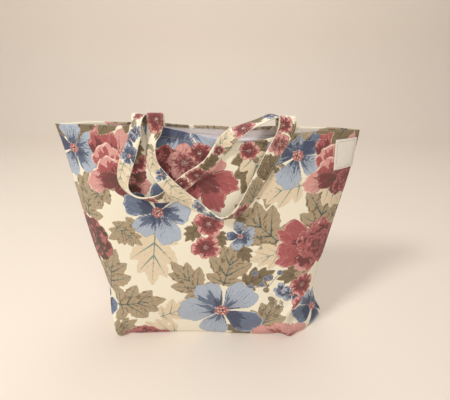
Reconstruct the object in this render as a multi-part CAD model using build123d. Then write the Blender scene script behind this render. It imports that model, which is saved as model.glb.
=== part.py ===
from build123d import *
import math
import os

# A soft zip-top cosmetic bag. +Z is up, -Y is the front, and the origin is the middle of the base on the
# table.

# Cloth body
PANEL_WIDTH = 330.0        # side seam to side seam at the mouth
BAG_HEIGHT = 287.0         # table to rim at the side seams
BASE_DEPTH = 80.0          # front to back of the boxed base
CLOTH = 1.2                # printed cotton with its stiffening
SEAT = 0.3                 # running clearance of the zip
SEWN_GAP = 0.8             # air between soft pieces that are sewn together
REST_GAP = 1.1             # air under a handle that lies on the cloth
OVERRUN = 5.0              # how far a cutting shape passes the face that it cuts

# Mouth
MOUTH_GAP = 18.0           # between the rims, away from the open middle
MOUTH_CENTRE = 34.0        # where the mouth gapes most
MOUTH_REACH = 92.0         # from there to where the rims run straight
FRONT_BOW = 6.0            # the front rim's forward bow
BACK_BOW = 4.0
FRONT_SAG = 14.0           # the front rim's dip
BACK_SAG = 6.0

# Zip
ZIP_DROP = 19.0            # from the rim at the seams down to the tapes
ZIP_END_ROOM = 37.0        # from a side seam to the end of the zip
TAPE = 0.8
TAPE_SLOT = 1.8            # between the tapes, under the rows
TAPE_TOP_GAP = 10.0        # from the rim down to the tape's sewn edge
TAPE_LEG_MIN = 2.0         # least height of the tape's turned-up edge
TOOTH_PITCH = 2.0
TOOTH_SHARE = 0.42         # tooth thickness in one pitch
TOOTH_REACH = 0.9          # past the zip's middle line
TOOTH_HEIGHT = 1.9
ROW_WIDTH = 2.7            # middle line to the outer side of a row
SPINE_WIDTH = 1.6

# Slider and pull
SLIDER_LENGTH = 14.0
SLIDER_NOSE = 11.0         # width at the end that leads when closing
SLIDER_TAIL = 9.0
SLIDER_PLATE = 1.2
SLIDER_CORNER = 1.5
FLANGE = 1.2               # the top plate's turned-down sides
POST_LENGTH = 4.0
POST_WIDTH = 1.2
BRIDGE_LENGTH = 8.0
BRIDGE_WIDTH = 2.2
BRIDGE_HEIGHT = 3.4
BRIDGE_BAR = 1.1
PULL_LENGTH = 22.0
PULL_WIDTH = 5.6
PULL_THICKNESS = 1.2
PULL_EYE_LENGTH = 6.0
PULL_EYE_WIDTH = 3.2
PULL_HOLE = 2.4            # hole near the free end
STOP_LENGTH = 3.0

# Handles
STRAP_WIDTH = 17.0
STRAP = 2.0
STRAP_TAIL = 8.0           # sewn inside the rim
STRAP_ARCH = 15.0          # rise above the rim

# Label
LABEL_WIDTH = 25.0
LABEL_HEIGHT = 34.0
LABEL_THICKNESS = 0.6
LABEL_TURN = 4.0           # degrees, leaning with the side seam
LABEL_PLACE = 0.54         # its middle, in LABEL_WIDTH from the side seam
LABEL_SHARES = (-1.0, -0.6, -0.2, 0.1, 0.4, 0.6, 0.8, 1.0)

HALF = PANEL_WIDTH / 2
ZIP_Z = BAG_HEIGHT - ZIP_DROP
ZIP_LENGTH = PANEL_WIDTH - 2 * ZIP_END_ROOM
ZIP_SHARE = ZIP_Z / BAG_HEIGHT
# The rows end behind the closed slider's post.
ROWS_START = SLIDER_LENGTH - ZIP_LENGTH / 2
SLIDER_REST = ROWS_START + SLIDER_LENGTH / 2 - POST_LENGTH - SEAT   # the closed slider's middle

# The wall at each level: height in BAG_HEIGHT, the two seams in HALF, the depth between mouth (0) and
# base (1), how square the plan is on each side, and how much of the mouth's bow it takes. The base's right ear
# is splayed.
LEVEL_SHARES = (0.0, 0.04, 0.12, 0.21, 0.42, 0.62, 0.81, ZIP_SHARE, 1.0)
RIGHT_SHARES = (1.0, 0.995, 0.925, 0.89, 0.92, 0.955, 0.99, 1.0, 1.0)
LEFT_SHARES = (0.87, 0.885, 0.88, 0.885, 0.93, 0.955, 0.97, 0.985, 1.0)
DEPTH_SHARES = (0.95, 1.0, 0.98, 0.93, 0.74, 0.50, 0.26, 0.09, 0.0)
RIGHT_POWERS = (5.0, 5.4, 7.0, 8.5, 8.0, 7.0, 6.5, 6.0, 6.0)
LEFT_POWERS = (14.0, 14.0, 12.0, 10.0, 8.0, 7.0, 6.5, 6.0, 6.0)
BOW_SHARES = (0.0, 0.0, 0.0, 0.0, 0.1, 0.3, 0.6, 0.9, 1.0)
PLAN_SHARES = (0.0, 0.15, 0.3, 0.45, 0.6, 0.72, 0.82, 0.89, 0.94, 0.975)

# Where each handle lies on the front: x in HALF, height in BAG_HEIGHT, lift off the cloth in STRAP_WIDTH, and
# the degrees that its upper edge stands up from the cloth.
FRONT_REST_SHARES = (
    (-0.340, 0.985, 0.00, 20), (-0.352, 0.955, 0.00, 50), (-0.364, 0.900, 0.00, 40), (-0.345, 0.853, 0.10, 22),
    (-0.285, 0.812, 0.43, 8), (-0.225, 0.778, 0.52, 4), (-0.165, 0.745, 0.36, 8), (-0.080, 0.709, 0.08, 24),
    (0.010, 0.676, 0.00, 40), (0.075, 0.660, 0.00, 50), (0.135, 0.663, 0.00, 50), (0.196, 0.683, 0.00, 40),
    (0.257, 0.725, 0.00, 30), (0.319, 0.792, 0.00, 20), (0.364, 0.840, 0.00, 14), (0.402, 0.888, 0.00, 10),
    (0.436, 0.925, 0.02, 6), (0.470, 0.962, 0.06, 3),
)
BACK_REST_SHARES = (
    (-0.455, 0.985, 0.00, 30), (-0.470, 0.955, 0.00, 36), (-0.500, 0.915, 0.00, 24), (-0.540, 0.860, 0.00, 16),
    (-0.560, 0.808, 0.00, 30), (-0.530, 0.766, 0.00, 52), (-0.455, 0.742, 0.00, 60), (-0.335, 0.734, 0.03, 34),
    (-0.255, 0.748, 0.04, 10), (-0.192, 0.780, 0.04, 4), (-0.105, 0.824, 0.03, 16), (-0.044, 0.854, 0.00, 34),
    (0.020, 0.886, 0.00, 34), (0.072, 0.924, 0.00, 20),
)
# Where the back handle passes over the mouth: x in HALF, depth in MOUTH_GAP from front to back, rise over the
# rims in STRAP_ARCH, and the compass turn and the upward tilt of the strap's width in degrees.
BACK_LEFT_SHARES = (
    (-0.425, 0.40, 0.45, 0, 0), (-0.427, 0.10, 0.92, 0, 0), (-0.432, -0.45, 0.98, 0, 0),
    (-0.440, -0.90, 0.50, 0, 0),
)
BACK_RIGHT_SHARES = (
    (0.148, -1.05, -0.47, 146, 25), (0.242, -0.56, 0.03, 120, 9), (0.333, -0.17, 0.36, 118, 0),
    (0.406, 0.14, 0.72, 124, 0), (0.461, 0.34, 0.80, 142, 0), (0.494, 0.40, 0.50, 165, 0),
)
FRONT_END_SHARES = (-0.325, 0.520)
BACK_END_SHARES = (-0.424, 0.503)


def between(value, places, results):
    """A value read from a table along a smooth curve; the slope at a place is that of its two neighbours."""
    last = len(places) - 1
    low = max(k for k in range(last) if k == 0 or value > places[k])
    slopes = []
    for place in (low, low + 1):
        before, after = max(0, place - 1), min(last, place + 1)
        slopes.append((results[after] - results[before]) / (places[after] - places[before]))
    span = places[low + 1] - places[low]
    share = min(1.0, (value - places[low]) / span)
    rest = 1 - share
    ends = results[low] * (1 + 2 * share) * rest ** 2 + results[low + 1] * (1 + 2 * rest) * share ** 2
    return ends + span * share * rest * (slopes[0] * rest - slopes[1] * share)


def gape(x):
    """How far the mouth is open at x: one in the middle of the gape, none where the rims run straight."""
    across = min(1.0, abs(x - MOUTH_CENTRE) / MOUTH_REACH)
    return (math.cos(math.pi * across) + 1) / 2


def wall_depth(x, height_share, bow):
    """Distance of a panel's outer face from the seam plane: flat in the middle, closing at the side seams."""
    seams, powers = (RIGHT_SHARES, RIGHT_POWERS) if x > 0 else (LEFT_SHARES, LEFT_POWERS)
    reach = HALF * between(height_share, LEVEL_SHARES, seams)
    slack = between(height_share, LEVEL_SHARES, DEPTH_SHARES) * (BASE_DEPTH - MOUTH_GAP)
    power = between(height_share, LEVEL_SHARES, powers)
    plan = 1 - min(1.0, abs(x) / reach) ** power
    return plan * (MOUTH_GAP + slack) / 2 + gape(x) * bow * between(height_share, LEVEL_SHARES, BOW_SHARES)


def plan_curve(height_share, bow, inset):
    """Points of the wall's plan from seam to seam, moved in by inset, as distances from the seam plane."""
    right = HALF * between(height_share, LEVEL_SHARES, RIGHT_SHARES)
    left = HALF * between(height_share, LEVEL_SHARES, LEFT_SHARES)
    stations = [-left * share for share in reversed(PLAN_SHARES[1:])]
    stations += [right * share for share in PLAN_SHARES]
    step = CLOTH / 2
    points = []
    for x in stations:
        before, after = (wall_depth(x + move, height_share, bow) for move in (-step, step))
        slope = (after - before) / (2 * step)
        length = math.hypot(1, slope)
        points.append((x + inset * slope / length, wall_depth(x, height_share, bow) - inset / length))
    ends = []
    for seam in (-left, right):
        slope = wall_depth(seam - math.copysign(step, seam), height_share, bow) / step
        ends.append((seam - math.copysign(inset * math.hypot(1, slope) / slope, seam), 0.0))
    return [ends[0]] + points + [ends[1]]


def half_body(side, bow, inset, opened):
    """One half of the bag as a filled loft; an opened one passes the seam plane and the rim, to cut with."""
    sections = []
    levels = [(share, share * BAG_HEIGHT) for share in LEVEL_SHARES]
    if opened:
        levels[0] = (levels[0][0], CLOTH)
        levels.append((levels[-1][0], BAG_HEIGHT + OVERRUN))
    for share, z in levels:
        curve = [(x, side * depth, z) for x, depth in plan_curve(share, bow, inset)]
        if opened:
            back = -side * OVERRUN
            closing = Polyline(curve[-1], (curve[-1][0], back, z), (curve[0][0], back, z), curve[0])
        else:
            closing = Line(curve[-1], curve[0])
        sections.append(make_face([Polyline(*curve), closing]))
    return loft(sections, ruled=True)


def rim_cut(side, sag):
    """What the rim's dip takes away: a smooth bite out of the top edge of one panel."""
    low, high = MOUTH_CENTRE - MOUTH_REACH, MOUTH_CENTRE + MOUTH_REACH
    bottom = (MOUTH_CENTRE, 0, BAG_HEIGHT - sag)
    ends = ((low, 0, BAG_HEIGHT), (high, 0, BAG_HEIGHT))
    dip = Spline(ends[0], bottom, ends[1], tangents=((1, 0, 0), (1, 0, 0)))
    roof = Polyline(ends[1], (high, 0, BAG_HEIGHT + OVERRUN), (low, 0, BAG_HEIGHT + OVERRUN), ends[0])
    return extrude(make_face([dip, roof]), amount=BASE_DEPTH, dir=(0, side, 0))


def panel(side, bow, sag):
    """One cloth panel: its wall, its halves of the sides and its half of the base, open at the seam plane."""
    hollow = half_body(side, bow, CLOTH, opened=True)
    return half_body(side, bow, 0.0, opened=False) - hollow - rim_cut(side, sag)


def rim_height(x, sag):
    return BAG_HEIGHT - sag * gape(x)


def tape(side, bow, sag):
    """Zip tape: flat beside the rows, then turned up along the inside of the rim, where it is sewn."""
    half = ZIP_LENGTH / 2
    count = 12
    sections = []
    for place in range(count + 1):
        x = -half + place * ZIP_LENGTH / count
        top = max(ZIP_Z + TAPE + TAPE_LEG_MIN, rim_height(x, sag) - TAPE_TOP_GAP)
        foot = wall_depth(x, ZIP_SHARE, bow) - CLOTH - SEWN_GAP
        head = wall_depth(x, top / BAG_HEIGHT, bow) - CLOTH - SEWN_GAP
        profile = ((TAPE_SLOT / 2, ZIP_Z), (foot, ZIP_Z), (head, top), (head - TAPE, top),
                   (foot - TAPE, ZIP_Z + TAPE), (TAPE_SLOT / 2, ZIP_Z + TAPE))
        sections.append(make_face(Polyline(*[(x, side * y, z) for y, z in profile], close=True)))
    return loft(sections, ruled=True)


def teeth(side):
    """One row of teeth: a spine on its tape, and teeth that reach between those of the other row."""
    start = ROWS_START
    count = int((ZIP_LENGTH - SLIDER_LENGTH - STOP_LENGTH) / TOOTH_PITCH)
    root, tip, outer = ROW_WIDTH - SPINE_WIDTH, -TOOTH_REACH, ROW_WIDTH
    shift = 0 if side < 0 else TOOTH_PITCH / 2
    outline = [(start, outer), (start, root)]
    for number in range(count - 1):
        x = start + shift + number * TOOTH_PITCH + SEAT
        end = x + TOOTH_SHARE * TOOTH_PITCH
        outline += [(x, root), (x, tip), (end, tip), (end, root)]
    finish = start + count * TOOTH_PITCH
    outline += [(finish, root), (finish, outer)]
    base = ZIP_Z + TAPE
    row = make_face(Polyline(*[(x, side * y, base) for x, y in outline], close=True))
    return extrude(row, amount=TOOTH_HEIGHT, dir=(0, 0, 1))


def slider(x):
    """Slider body: a plate under the tapes, a flanged plate over the rows, a post between and a bridge."""
    under = ZIP_Z - SEAT
    over = ZIP_Z + TAPE + TOOTH_HEIGHT + SEAT
    nose, tail = SLIDER_NOSE / 2, SLIDER_TAIL / 2
    front, rear = -SLIDER_LENGTH / 2, SLIDER_LENGTH / 2
    outline = Polyline((front, -nose), (rear, -tail), (rear, tail), (front, nose), close=True)
    plate = fillet(make_face(outline).vertices(), SLIDER_CORNER)
    top = Pos(x, 0, over) * extrude(plate, SLIDER_PLATE)
    bottom = Pos(x, 0, under - SLIDER_PLATE) * extrude(plate, SLIDER_PLATE)
    skirt = ZIP_Z + TAPE + SEAT
    inside = ROW_WIDTH + SEAT
    rim = plate - Rectangle(SLIDER_LENGTH + OVERRUN, 2 * inside)
    flanges = Pos(x, 0, skirt) * extrude(rim, over - skirt)
    post_x = x + front + POST_LENGTH / 2
    post = Pos(post_x, 0, under) * extrude(SlotOverall(POST_LENGTH, POST_WIDTH), over - under)
    roof = over + SLIDER_PLATE
    standing = (Align.CENTER, Align.CENTER, Align.MIN)
    bridge = Pos(x, 0, roof) * Box(BRIDGE_LENGTH, BRIDGE_WIDTH, BRIDGE_HEIGHT, align=standing)
    bridge = fillet(bridge.edges().filter_by(Axis.Y).group_by(Axis.Z)[-1], BRIDGE_BAR)
    opening = (BRIDGE_LENGTH - 2 * BRIDGE_BAR, BRIDGE_WIDTH + OVERRUN, BRIDGE_HEIGHT - BRIDGE_BAR)
    window = Pos(x, 0, roof) * Box(*opening, align=standing)
    return top + bottom + flanges + post + (bridge - window)


def pull_tab(x):
    """Pull tab lying back over the closed rows, its eye round the slider's bridge."""
    roof = ZIP_Z + TAPE + TOOTH_HEIGHT + SEAT + SLIDER_PLATE
    bar = PULL_THICKNESS
    z = roof + (BRIDGE_HEIGHT - BRIDGE_BAR) / 2
    outline = Pos(PULL_LENGTH / 2 - bar / 2, 0) * SlotOverall(PULL_LENGTH, PULL_WIDTH)
    square_end = Pos(-bar / 2, 0) * Rectangle(PULL_EYE_LENGTH, PULL_WIDTH, align=(Align.MIN, Align.CENTER))
    eye = Pos(bar / 2, 0) * Rectangle(PULL_EYE_LENGTH - bar, PULL_EYE_WIDTH, align=(Align.MIN, Align.CENTER))
    hole = Pos(PULL_LENGTH - PULL_WIDTH / 2, 0) * Circle(PULL_HOLE / 2)
    flat = outline + square_end - eye - hole
    tab = extrude(flat, PULL_THICKNESS / 2, both=True)
    return Pos(x, 0, z) * tab


def stops(place):
    """The zip's end stops: a pair at the closing end, one across both tapes at the other."""
    base = ZIP_Z + TAPE
    block = Box(STOP_LENGTH, SPINE_WIDTH, TOOTH_HEIGHT, align=(Align.CENTER, Align.CENTER, Align.MIN))
    block = chamfer(block.edges().filter_by(Axis.Z), SPINE_WIDTH / 4)
    if place < 0:
        y = ROW_WIDTH - SPINE_WIDTH / 2
        x = SLIDER_REST - SLIDER_LENGTH / 2 - SEAT - STOP_LENGTH / 2
        return Compound(children=[Pos(x, -y, base) * block, Pos(x, y, base) * block])
    bar = Box(STOP_LENGTH, 2 * ROW_WIDTH, TOOTH_HEIGHT, align=(Align.CENTER, Align.CENTER, Align.MIN))
    bar = chamfer(bar.edges().filter_by(Axis.Z), SPINE_WIDTH / 4)
    return Pos(ZIP_LENGTH / 2 - STOP_LENGTH / 2, 0, base) * bar


def resting(shares):
    """A handle's stations on the front panel: middle point, and the lean of its width, an edge on the cloth."""
    stations = []
    for x_share, z_share, lift_share, lean in shares:
        x, z = x_share * HALF, z_share * BAG_HEIGHT
        lean = math.radians(lean)
        stand = math.sin(lean) * STRAP_WIDTH / 2 + math.cos(lean) * STRAP / 2 + REST_GAP
        y = -wall_depth(x, z_share, FRONT_BOW) - stand - lift_share * STRAP_WIDTH
        stations.append((Vector(x, y, z), lean, None))
    return stations


def crossing(shares):
    """A handle's stations over the mouth, each with the direction of its width."""
    stations = []
    for x_share, y_share, rise_share, turn, tilt in shares:
        place = Vector(x_share * HALF, y_share * MOUTH_GAP, BAG_HEIGHT + rise_share * STRAP_ARCH)
        stations.append((place, None, compass(turn, tilt)))
    return stations


def compass(turn, tilt):
    """The direction of a strap's width: its turn in plan from +X, and its tilt upward, in degrees."""
    turn, tilt = math.radians(turn), math.radians(tilt)
    return Vector(math.cos(turn) * math.cos(tilt), math.sin(turn) * math.cos(tilt), math.sin(tilt))


def strap_room(x, z, bow):
    """The least wall depth across a strap's width."""
    edges = (x - STRAP_WIDTH / 2, x + STRAP_WIDTH / 2)
    return min(wall_depth(edge, z / BAG_HEIGHT, bow) for edge in edges)


def tail(side, x, bow, sag, width):
    """The sewn end: two stations down the inside of the rim."""
    stations = []
    rim = rim_height(x, sag)
    for drop in (STRAP_TAIL, 0.0):
        z = rim - drop
        y = side * (strap_room(x, z, bow) - CLOTH - SEWN_GAP - STRAP / 2)
        stations.append((Vector(x, y, z), None, width))
    return stations


def over_front_rim(x, width):
    """The front handle's turn over the front rim: a round arch from the inside of the rim to its outside."""
    stations = []
    rim = rim_height(x, FRONT_SAG)
    inner = -(strap_room(x, rim, FRONT_BOW) - CLOTH - SEWN_GAP - STRAP / 2)
    outer = -(wall_depth(x, rim / BAG_HEIGHT, FRONT_BOW) + SEWN_GAP + 2 * STRAP)
    middle, spread = (inner + outer) / 2, (inner - outer) / 2
    for angle in (30, 65, 90, 115, 150):
        bend = math.radians(angle)
        place = Vector(x, middle + spread * math.cos(bend), rim + STRAP_ARCH * math.sin(bend) - STRAP / 2)
        stations.append((place, None, width))
    return stations


def strap(stations):
    """A flat strap through its stations, square to its route at each, each twist folded along a diagonal."""
    rings = []
    for number, (place, lean, width) in enumerate(stations):
        before = stations[max(0, number - 1)][0]
        after = stations[min(len(stations) - 1, number + 1)][0]
        along = (after - before).normalized()
        if width is None:
            outward = Vector(0, -1, 0)
            width = outward.cross(along).normalized() * math.cos(lean) + outward * math.sin(lean)
        width = (width - along * width.dot(along)).normalized()
        face = along.cross(width)
        across, through = width * (STRAP_WIDTH / 2), face * (STRAP / 2)
        rings.append([place + across + through, place - across + through,
                      place - across - through, place + across - through])
    return folded(rings)


def folded(rings):
    """A solid over rings of four corners, with every side between two rings folded along a diagonal."""
    faces = []
    for first, second, third, fourth in (rings[0], rings[-1]):
        faces += [flat_face((first, second, third)), flat_face((first, third, fourth))]
    for near, far in zip(rings, rings[1:]):
        for one, other in ((0, 1), (3, 2), (0, 3), (1, 2)):
            faces.append(flat_face((near[one], near[other], far[other])))
            faces.append(flat_face((near[one], far[other], far[one])))
    return Solid(Shell(faces))


def flat_face(corners):
    return make_face(Polyline(*corners, close=True)).face()


def front_handle():
    left, right = (share * HALF for share in FRONT_END_SHARES)
    rightward, leftward = compass(0, 0), compass(180, 0)
    route = tail(-1, left, FRONT_BOW, FRONT_SAG, rightward) + over_front_rim(left, rightward)
    route += resting(FRONT_REST_SHARES)
    route += over_front_rim(right, leftward)[::-1] + tail(-1, right, FRONT_BOW, FRONT_SAG, leftward)[::-1]
    return strap(route)


def back_handle():
    left, right = (share * HALF for share in BACK_END_SHARES)
    route = tail(1, left, BACK_BOW, BACK_SAG, compass(0, 0)) + crossing(BACK_LEFT_SHARES)
    route += resting(BACK_REST_SHARES)
    route += crossing(BACK_RIGHT_SHARES) + tail(1, right, BACK_BOW, BACK_SAG, compass(180, 0))[::-1]
    return strap(route)


def off_front(x, z, stand):
    """A point at a set distance off the front panel's outer face, square to the panel's plan."""
    share, step = z / BAG_HEIGHT, CLOTH / 2
    rise = wall_depth(x + step, share, FRONT_BOW) - wall_depth(x - step, share, FRONT_BOW)
    slope = rise / (2 * step)
    away = stand / math.hypot(1, slope)
    return Vector(x - away * slope, -wall_depth(x, share, FRONT_BOW) - away, z)


def label():
    """A cloth patch bent round the front panel, just inside the right side seam."""
    turn = math.radians(LABEL_TURN)
    middle_x = HALF - LABEL_WIDTH * LABEL_PLACE
    middle_z = BAG_HEIGHT - STRAP_TAIL - LABEL_HEIGHT / 2 - 2 * STRAP
    outer = SEWN_GAP + LABEL_THICKNESS
    rings = []
    for share in LABEL_SHARES:
        across = share * LABEL_WIDTH / 2
        ring = []
        for end, stand in ((-1, outer), (1, outer), (1, SEWN_GAP), (-1, SEWN_GAP)):
            up = end * LABEL_HEIGHT / 2
            x = middle_x + across * math.cos(turn) - up * math.sin(turn)
            z = middle_z + across * math.sin(turn) + up * math.cos(turn)
            ring.append(off_front(x, z, stand))
        rings.append(ring)
    return folded(rings)


nodes = {
    "front_panel": panel(-1, FRONT_BOW, FRONT_SAG),
    "back_panel": panel(1, BACK_BOW, BACK_SAG),
    "front_zip_tape": tape(-1, FRONT_BOW, FRONT_SAG),
    "back_zip_tape": tape(1, BACK_BOW, BACK_SAG),
    "front_zip_teeth": teeth(-1),
    "back_zip_teeth": teeth(1),
    "zip_slider": slider(SLIDER_REST),
    "pull_tab": pull_tab(SLIDER_REST),
    "top_stops": stops(-1),
    "bottom_stop": stops(1),
    "front_handle": front_handle(),
    "back_handle": back_handle(),
    "label": label(),
}

os.makedirs("parts", exist_ok=True)
for name, shape in nodes.items():
    export_step(shape, f"parts/{name}.step")
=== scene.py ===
"""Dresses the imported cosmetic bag: printed cotton panels, cotton handles, a coil zip, a blank label and a
studio."""

import math

import bmesh
import bpy
import numpy as np
from bpy.props import FloatProperty, FloatVectorProperty, PointerProperty
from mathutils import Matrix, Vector


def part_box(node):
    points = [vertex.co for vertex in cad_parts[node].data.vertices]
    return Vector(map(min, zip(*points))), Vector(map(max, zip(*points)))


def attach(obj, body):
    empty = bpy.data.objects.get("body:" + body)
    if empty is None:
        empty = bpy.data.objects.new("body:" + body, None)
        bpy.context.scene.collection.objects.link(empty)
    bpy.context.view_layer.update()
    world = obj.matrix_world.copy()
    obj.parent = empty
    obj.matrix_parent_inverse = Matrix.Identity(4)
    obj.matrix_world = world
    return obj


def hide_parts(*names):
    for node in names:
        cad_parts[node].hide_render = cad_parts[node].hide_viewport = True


bl_info = {
    "name": "Printed Cosmetic Bag",
    "version": (1, 0, 0),
    "blender": (4, 5, 0),
    "location": "View3D > Sidebar > Bag",
    "description": "Cloth, handles, zip and label for the packed bag",
    "category": "Object",
}

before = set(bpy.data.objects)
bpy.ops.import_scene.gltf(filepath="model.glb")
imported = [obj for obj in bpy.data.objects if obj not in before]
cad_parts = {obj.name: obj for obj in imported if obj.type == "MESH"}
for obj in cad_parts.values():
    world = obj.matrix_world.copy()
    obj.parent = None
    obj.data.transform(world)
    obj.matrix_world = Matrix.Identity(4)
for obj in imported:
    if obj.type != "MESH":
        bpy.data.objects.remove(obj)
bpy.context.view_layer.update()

# Lengths are in millimetres, as in the part's drawing, and become metres where a mesh is made.
MM = 0.001
FAR = 99.0  # an ink field's value where that ink is absent


def node_size(node, axis):
    """Length of a CAD node along one axis, in millimetres."""
    low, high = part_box(node)
    return (high[axis] - low[axis]) / MM


PANEL_WIDTH = node_size("front_panel", 0)
BAG_HEIGHT = node_size("front_panel", 2)
HALF = PANEL_WIDTH / 2
BASE_DEPTH = 2 * node_size("front_panel", 1)
MOUTH_GAP, MOUTH_CENTRE, MOUTH_REACH = 18.0, 34.0, 92.0
FRONT_BOW, BACK_BOW = 6.0, 4.0
FRONT_SAG, BACK_SAG = 14.0, 6.0
RIGHT_DROOP = 4.0  # how far the rim's right end hangs lower in the cloth
CLOTH, SEWN_GAP, REST_GAP = 1.2, 0.8, 1.1
ZIP_LENGTH = node_size("front_zip_tape", 0)
ZIP_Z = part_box("front_zip_tape")[0][2] / MM
TAPE, TAPE_SLOT, TAPE_TOP_GAP, TAPE_LEG_MIN = 0.8, 1.8, 10.0, 2.0
STRAP_TAIL, STRAP_ARCH, RIGHT_ARCH = 8.0, 15.0, 20.0

# The wall at each level: height in BAG_HEIGHT, the two seams in HALF, the depth between mouth (0) and base (1),
# how square the plan is on each side, and how much of the mouth's bow it takes.
LEVEL_SHARES = (0.0, 0.04, 0.12, 0.21, 0.42, 0.62, 0.81, ZIP_Z / BAG_HEIGHT, 1.0)
RIGHT_SHARES = (1.0, 0.995, 0.925, 0.89, 0.92, 0.955, 0.99, 1.0, 1.0)
LEFT_SHARES = (0.87, 0.885, 0.88, 0.885, 0.93, 0.955, 0.97, 0.985, 1.0)
DEPTH_SHARES = (0.95, 1.0, 0.98, 0.93, 0.74, 0.50, 0.26, 0.09, 0.0)
RIGHT_POWERS = (5.0, 5.4, 7.0, 8.5, 8.0, 7.0, 6.5, 6.0, 6.0)
LEFT_POWERS = (14.0, 14.0, 12.0, 10.0, 8.0, 7.0, 6.5, 6.0, 6.0)
BOW_SHARES = (0.0, 0.0, 0.0, 0.0, 0.1, 0.3, 0.6, 0.9, 1.0)

# Where each handle lies on the front: x in HALF, height in BAG_HEIGHT, lift off the cloth in strap widths,
# and the degrees that its upper edge stands up from the cloth.
FRONT_REST_SHARES = (
    (-0.340, 0.985, 0.00, 20), (-0.352, 0.955, 0.00, 50), (-0.364, 0.900, 0.00, 40), (-0.345, 0.853, 0.10, 22),
    (-0.285, 0.812, 0.43, 8), (-0.225, 0.778, 0.52, 4), (-0.165, 0.745, 0.36, 8), (-0.080, 0.709, 0.08, 24),
    (0.010, 0.676, 0.00, 40), (0.075, 0.660, 0.00, 50), (0.135, 0.663, 0.00, 50), (0.196, 0.683, 0.00, 40),
    (0.257, 0.725, 0.00, 30), (0.319, 0.792, 0.00, 20), (0.364, 0.840, 0.00, 14), (0.402, 0.888, 0.00, 10),
    (0.436, 0.925, 0.02, 6), (0.470, 0.962, 0.06, 3),
)
BACK_REST_SHARES = (
    (-0.455, 0.985, 0.00, 30), (-0.470, 0.955, 0.00, 36), (-0.500, 0.915, 0.00, 24), (-0.540, 0.860, 0.00, 16),
    (-0.560, 0.808, 0.00, 30), (-0.530, 0.766, 0.00, 52), (-0.455, 0.742, 0.00, 60), (-0.335, 0.734, 0.03, 34),
    (-0.255, 0.748, 0.04, 10), (-0.192, 0.780, 0.04, 4), (-0.105, 0.824, 0.03, 16), (-0.044, 0.854, 0.00, 34),
    (0.020, 0.886, 0.00, 34), (0.072, 0.924, 0.00, 20),
)
# Where the back handle passes over the mouth: x in HALF, depth in MOUTH_GAP from front to back, rise over the
# rims in STRAP_ARCH, and the compass turn and the upward tilt of the strap's width in degrees.
BACK_LEFT_SHARES = (
    (-0.427, 0.40, 0.35, -10, 0), (-0.434, 0.10, 0.66, -36, 0), (-0.436, -0.45, 0.66, -52, 0),
    (-0.444, -0.90, 0.25, -44, 0),
)
BACK_RIGHT_SHARES = (
    (0.148, -1.05, -0.47, 146, 25), (0.242, -0.56, 0.03, 120, 9), (0.333, -0.17, 0.34, 116, 0),
    (0.406, 0.14, 0.60, 116, 0), (0.458, 0.34, 0.58, 134, 0), (0.490, 0.40, 0.30, 160, 0),
)
FRONT_END_SHARES = (-0.325, 0.500)
BACK_END_SHARES = (-0.424, 0.503)

# The print, a traditional trailing-flower chintz. Places are millimetres on the cloth, from the panel's
# middle line and from the base's front edge, and the pattern repeats over REPEAT. Later rows lie over earlier
# ones.
REPEAT = (352.0, 344.0)
INKS = ("tan", "brown", "olive", "sky", "slate", "navy", "pink", "rose", "maroon", "teal", "blush", "line")
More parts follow.
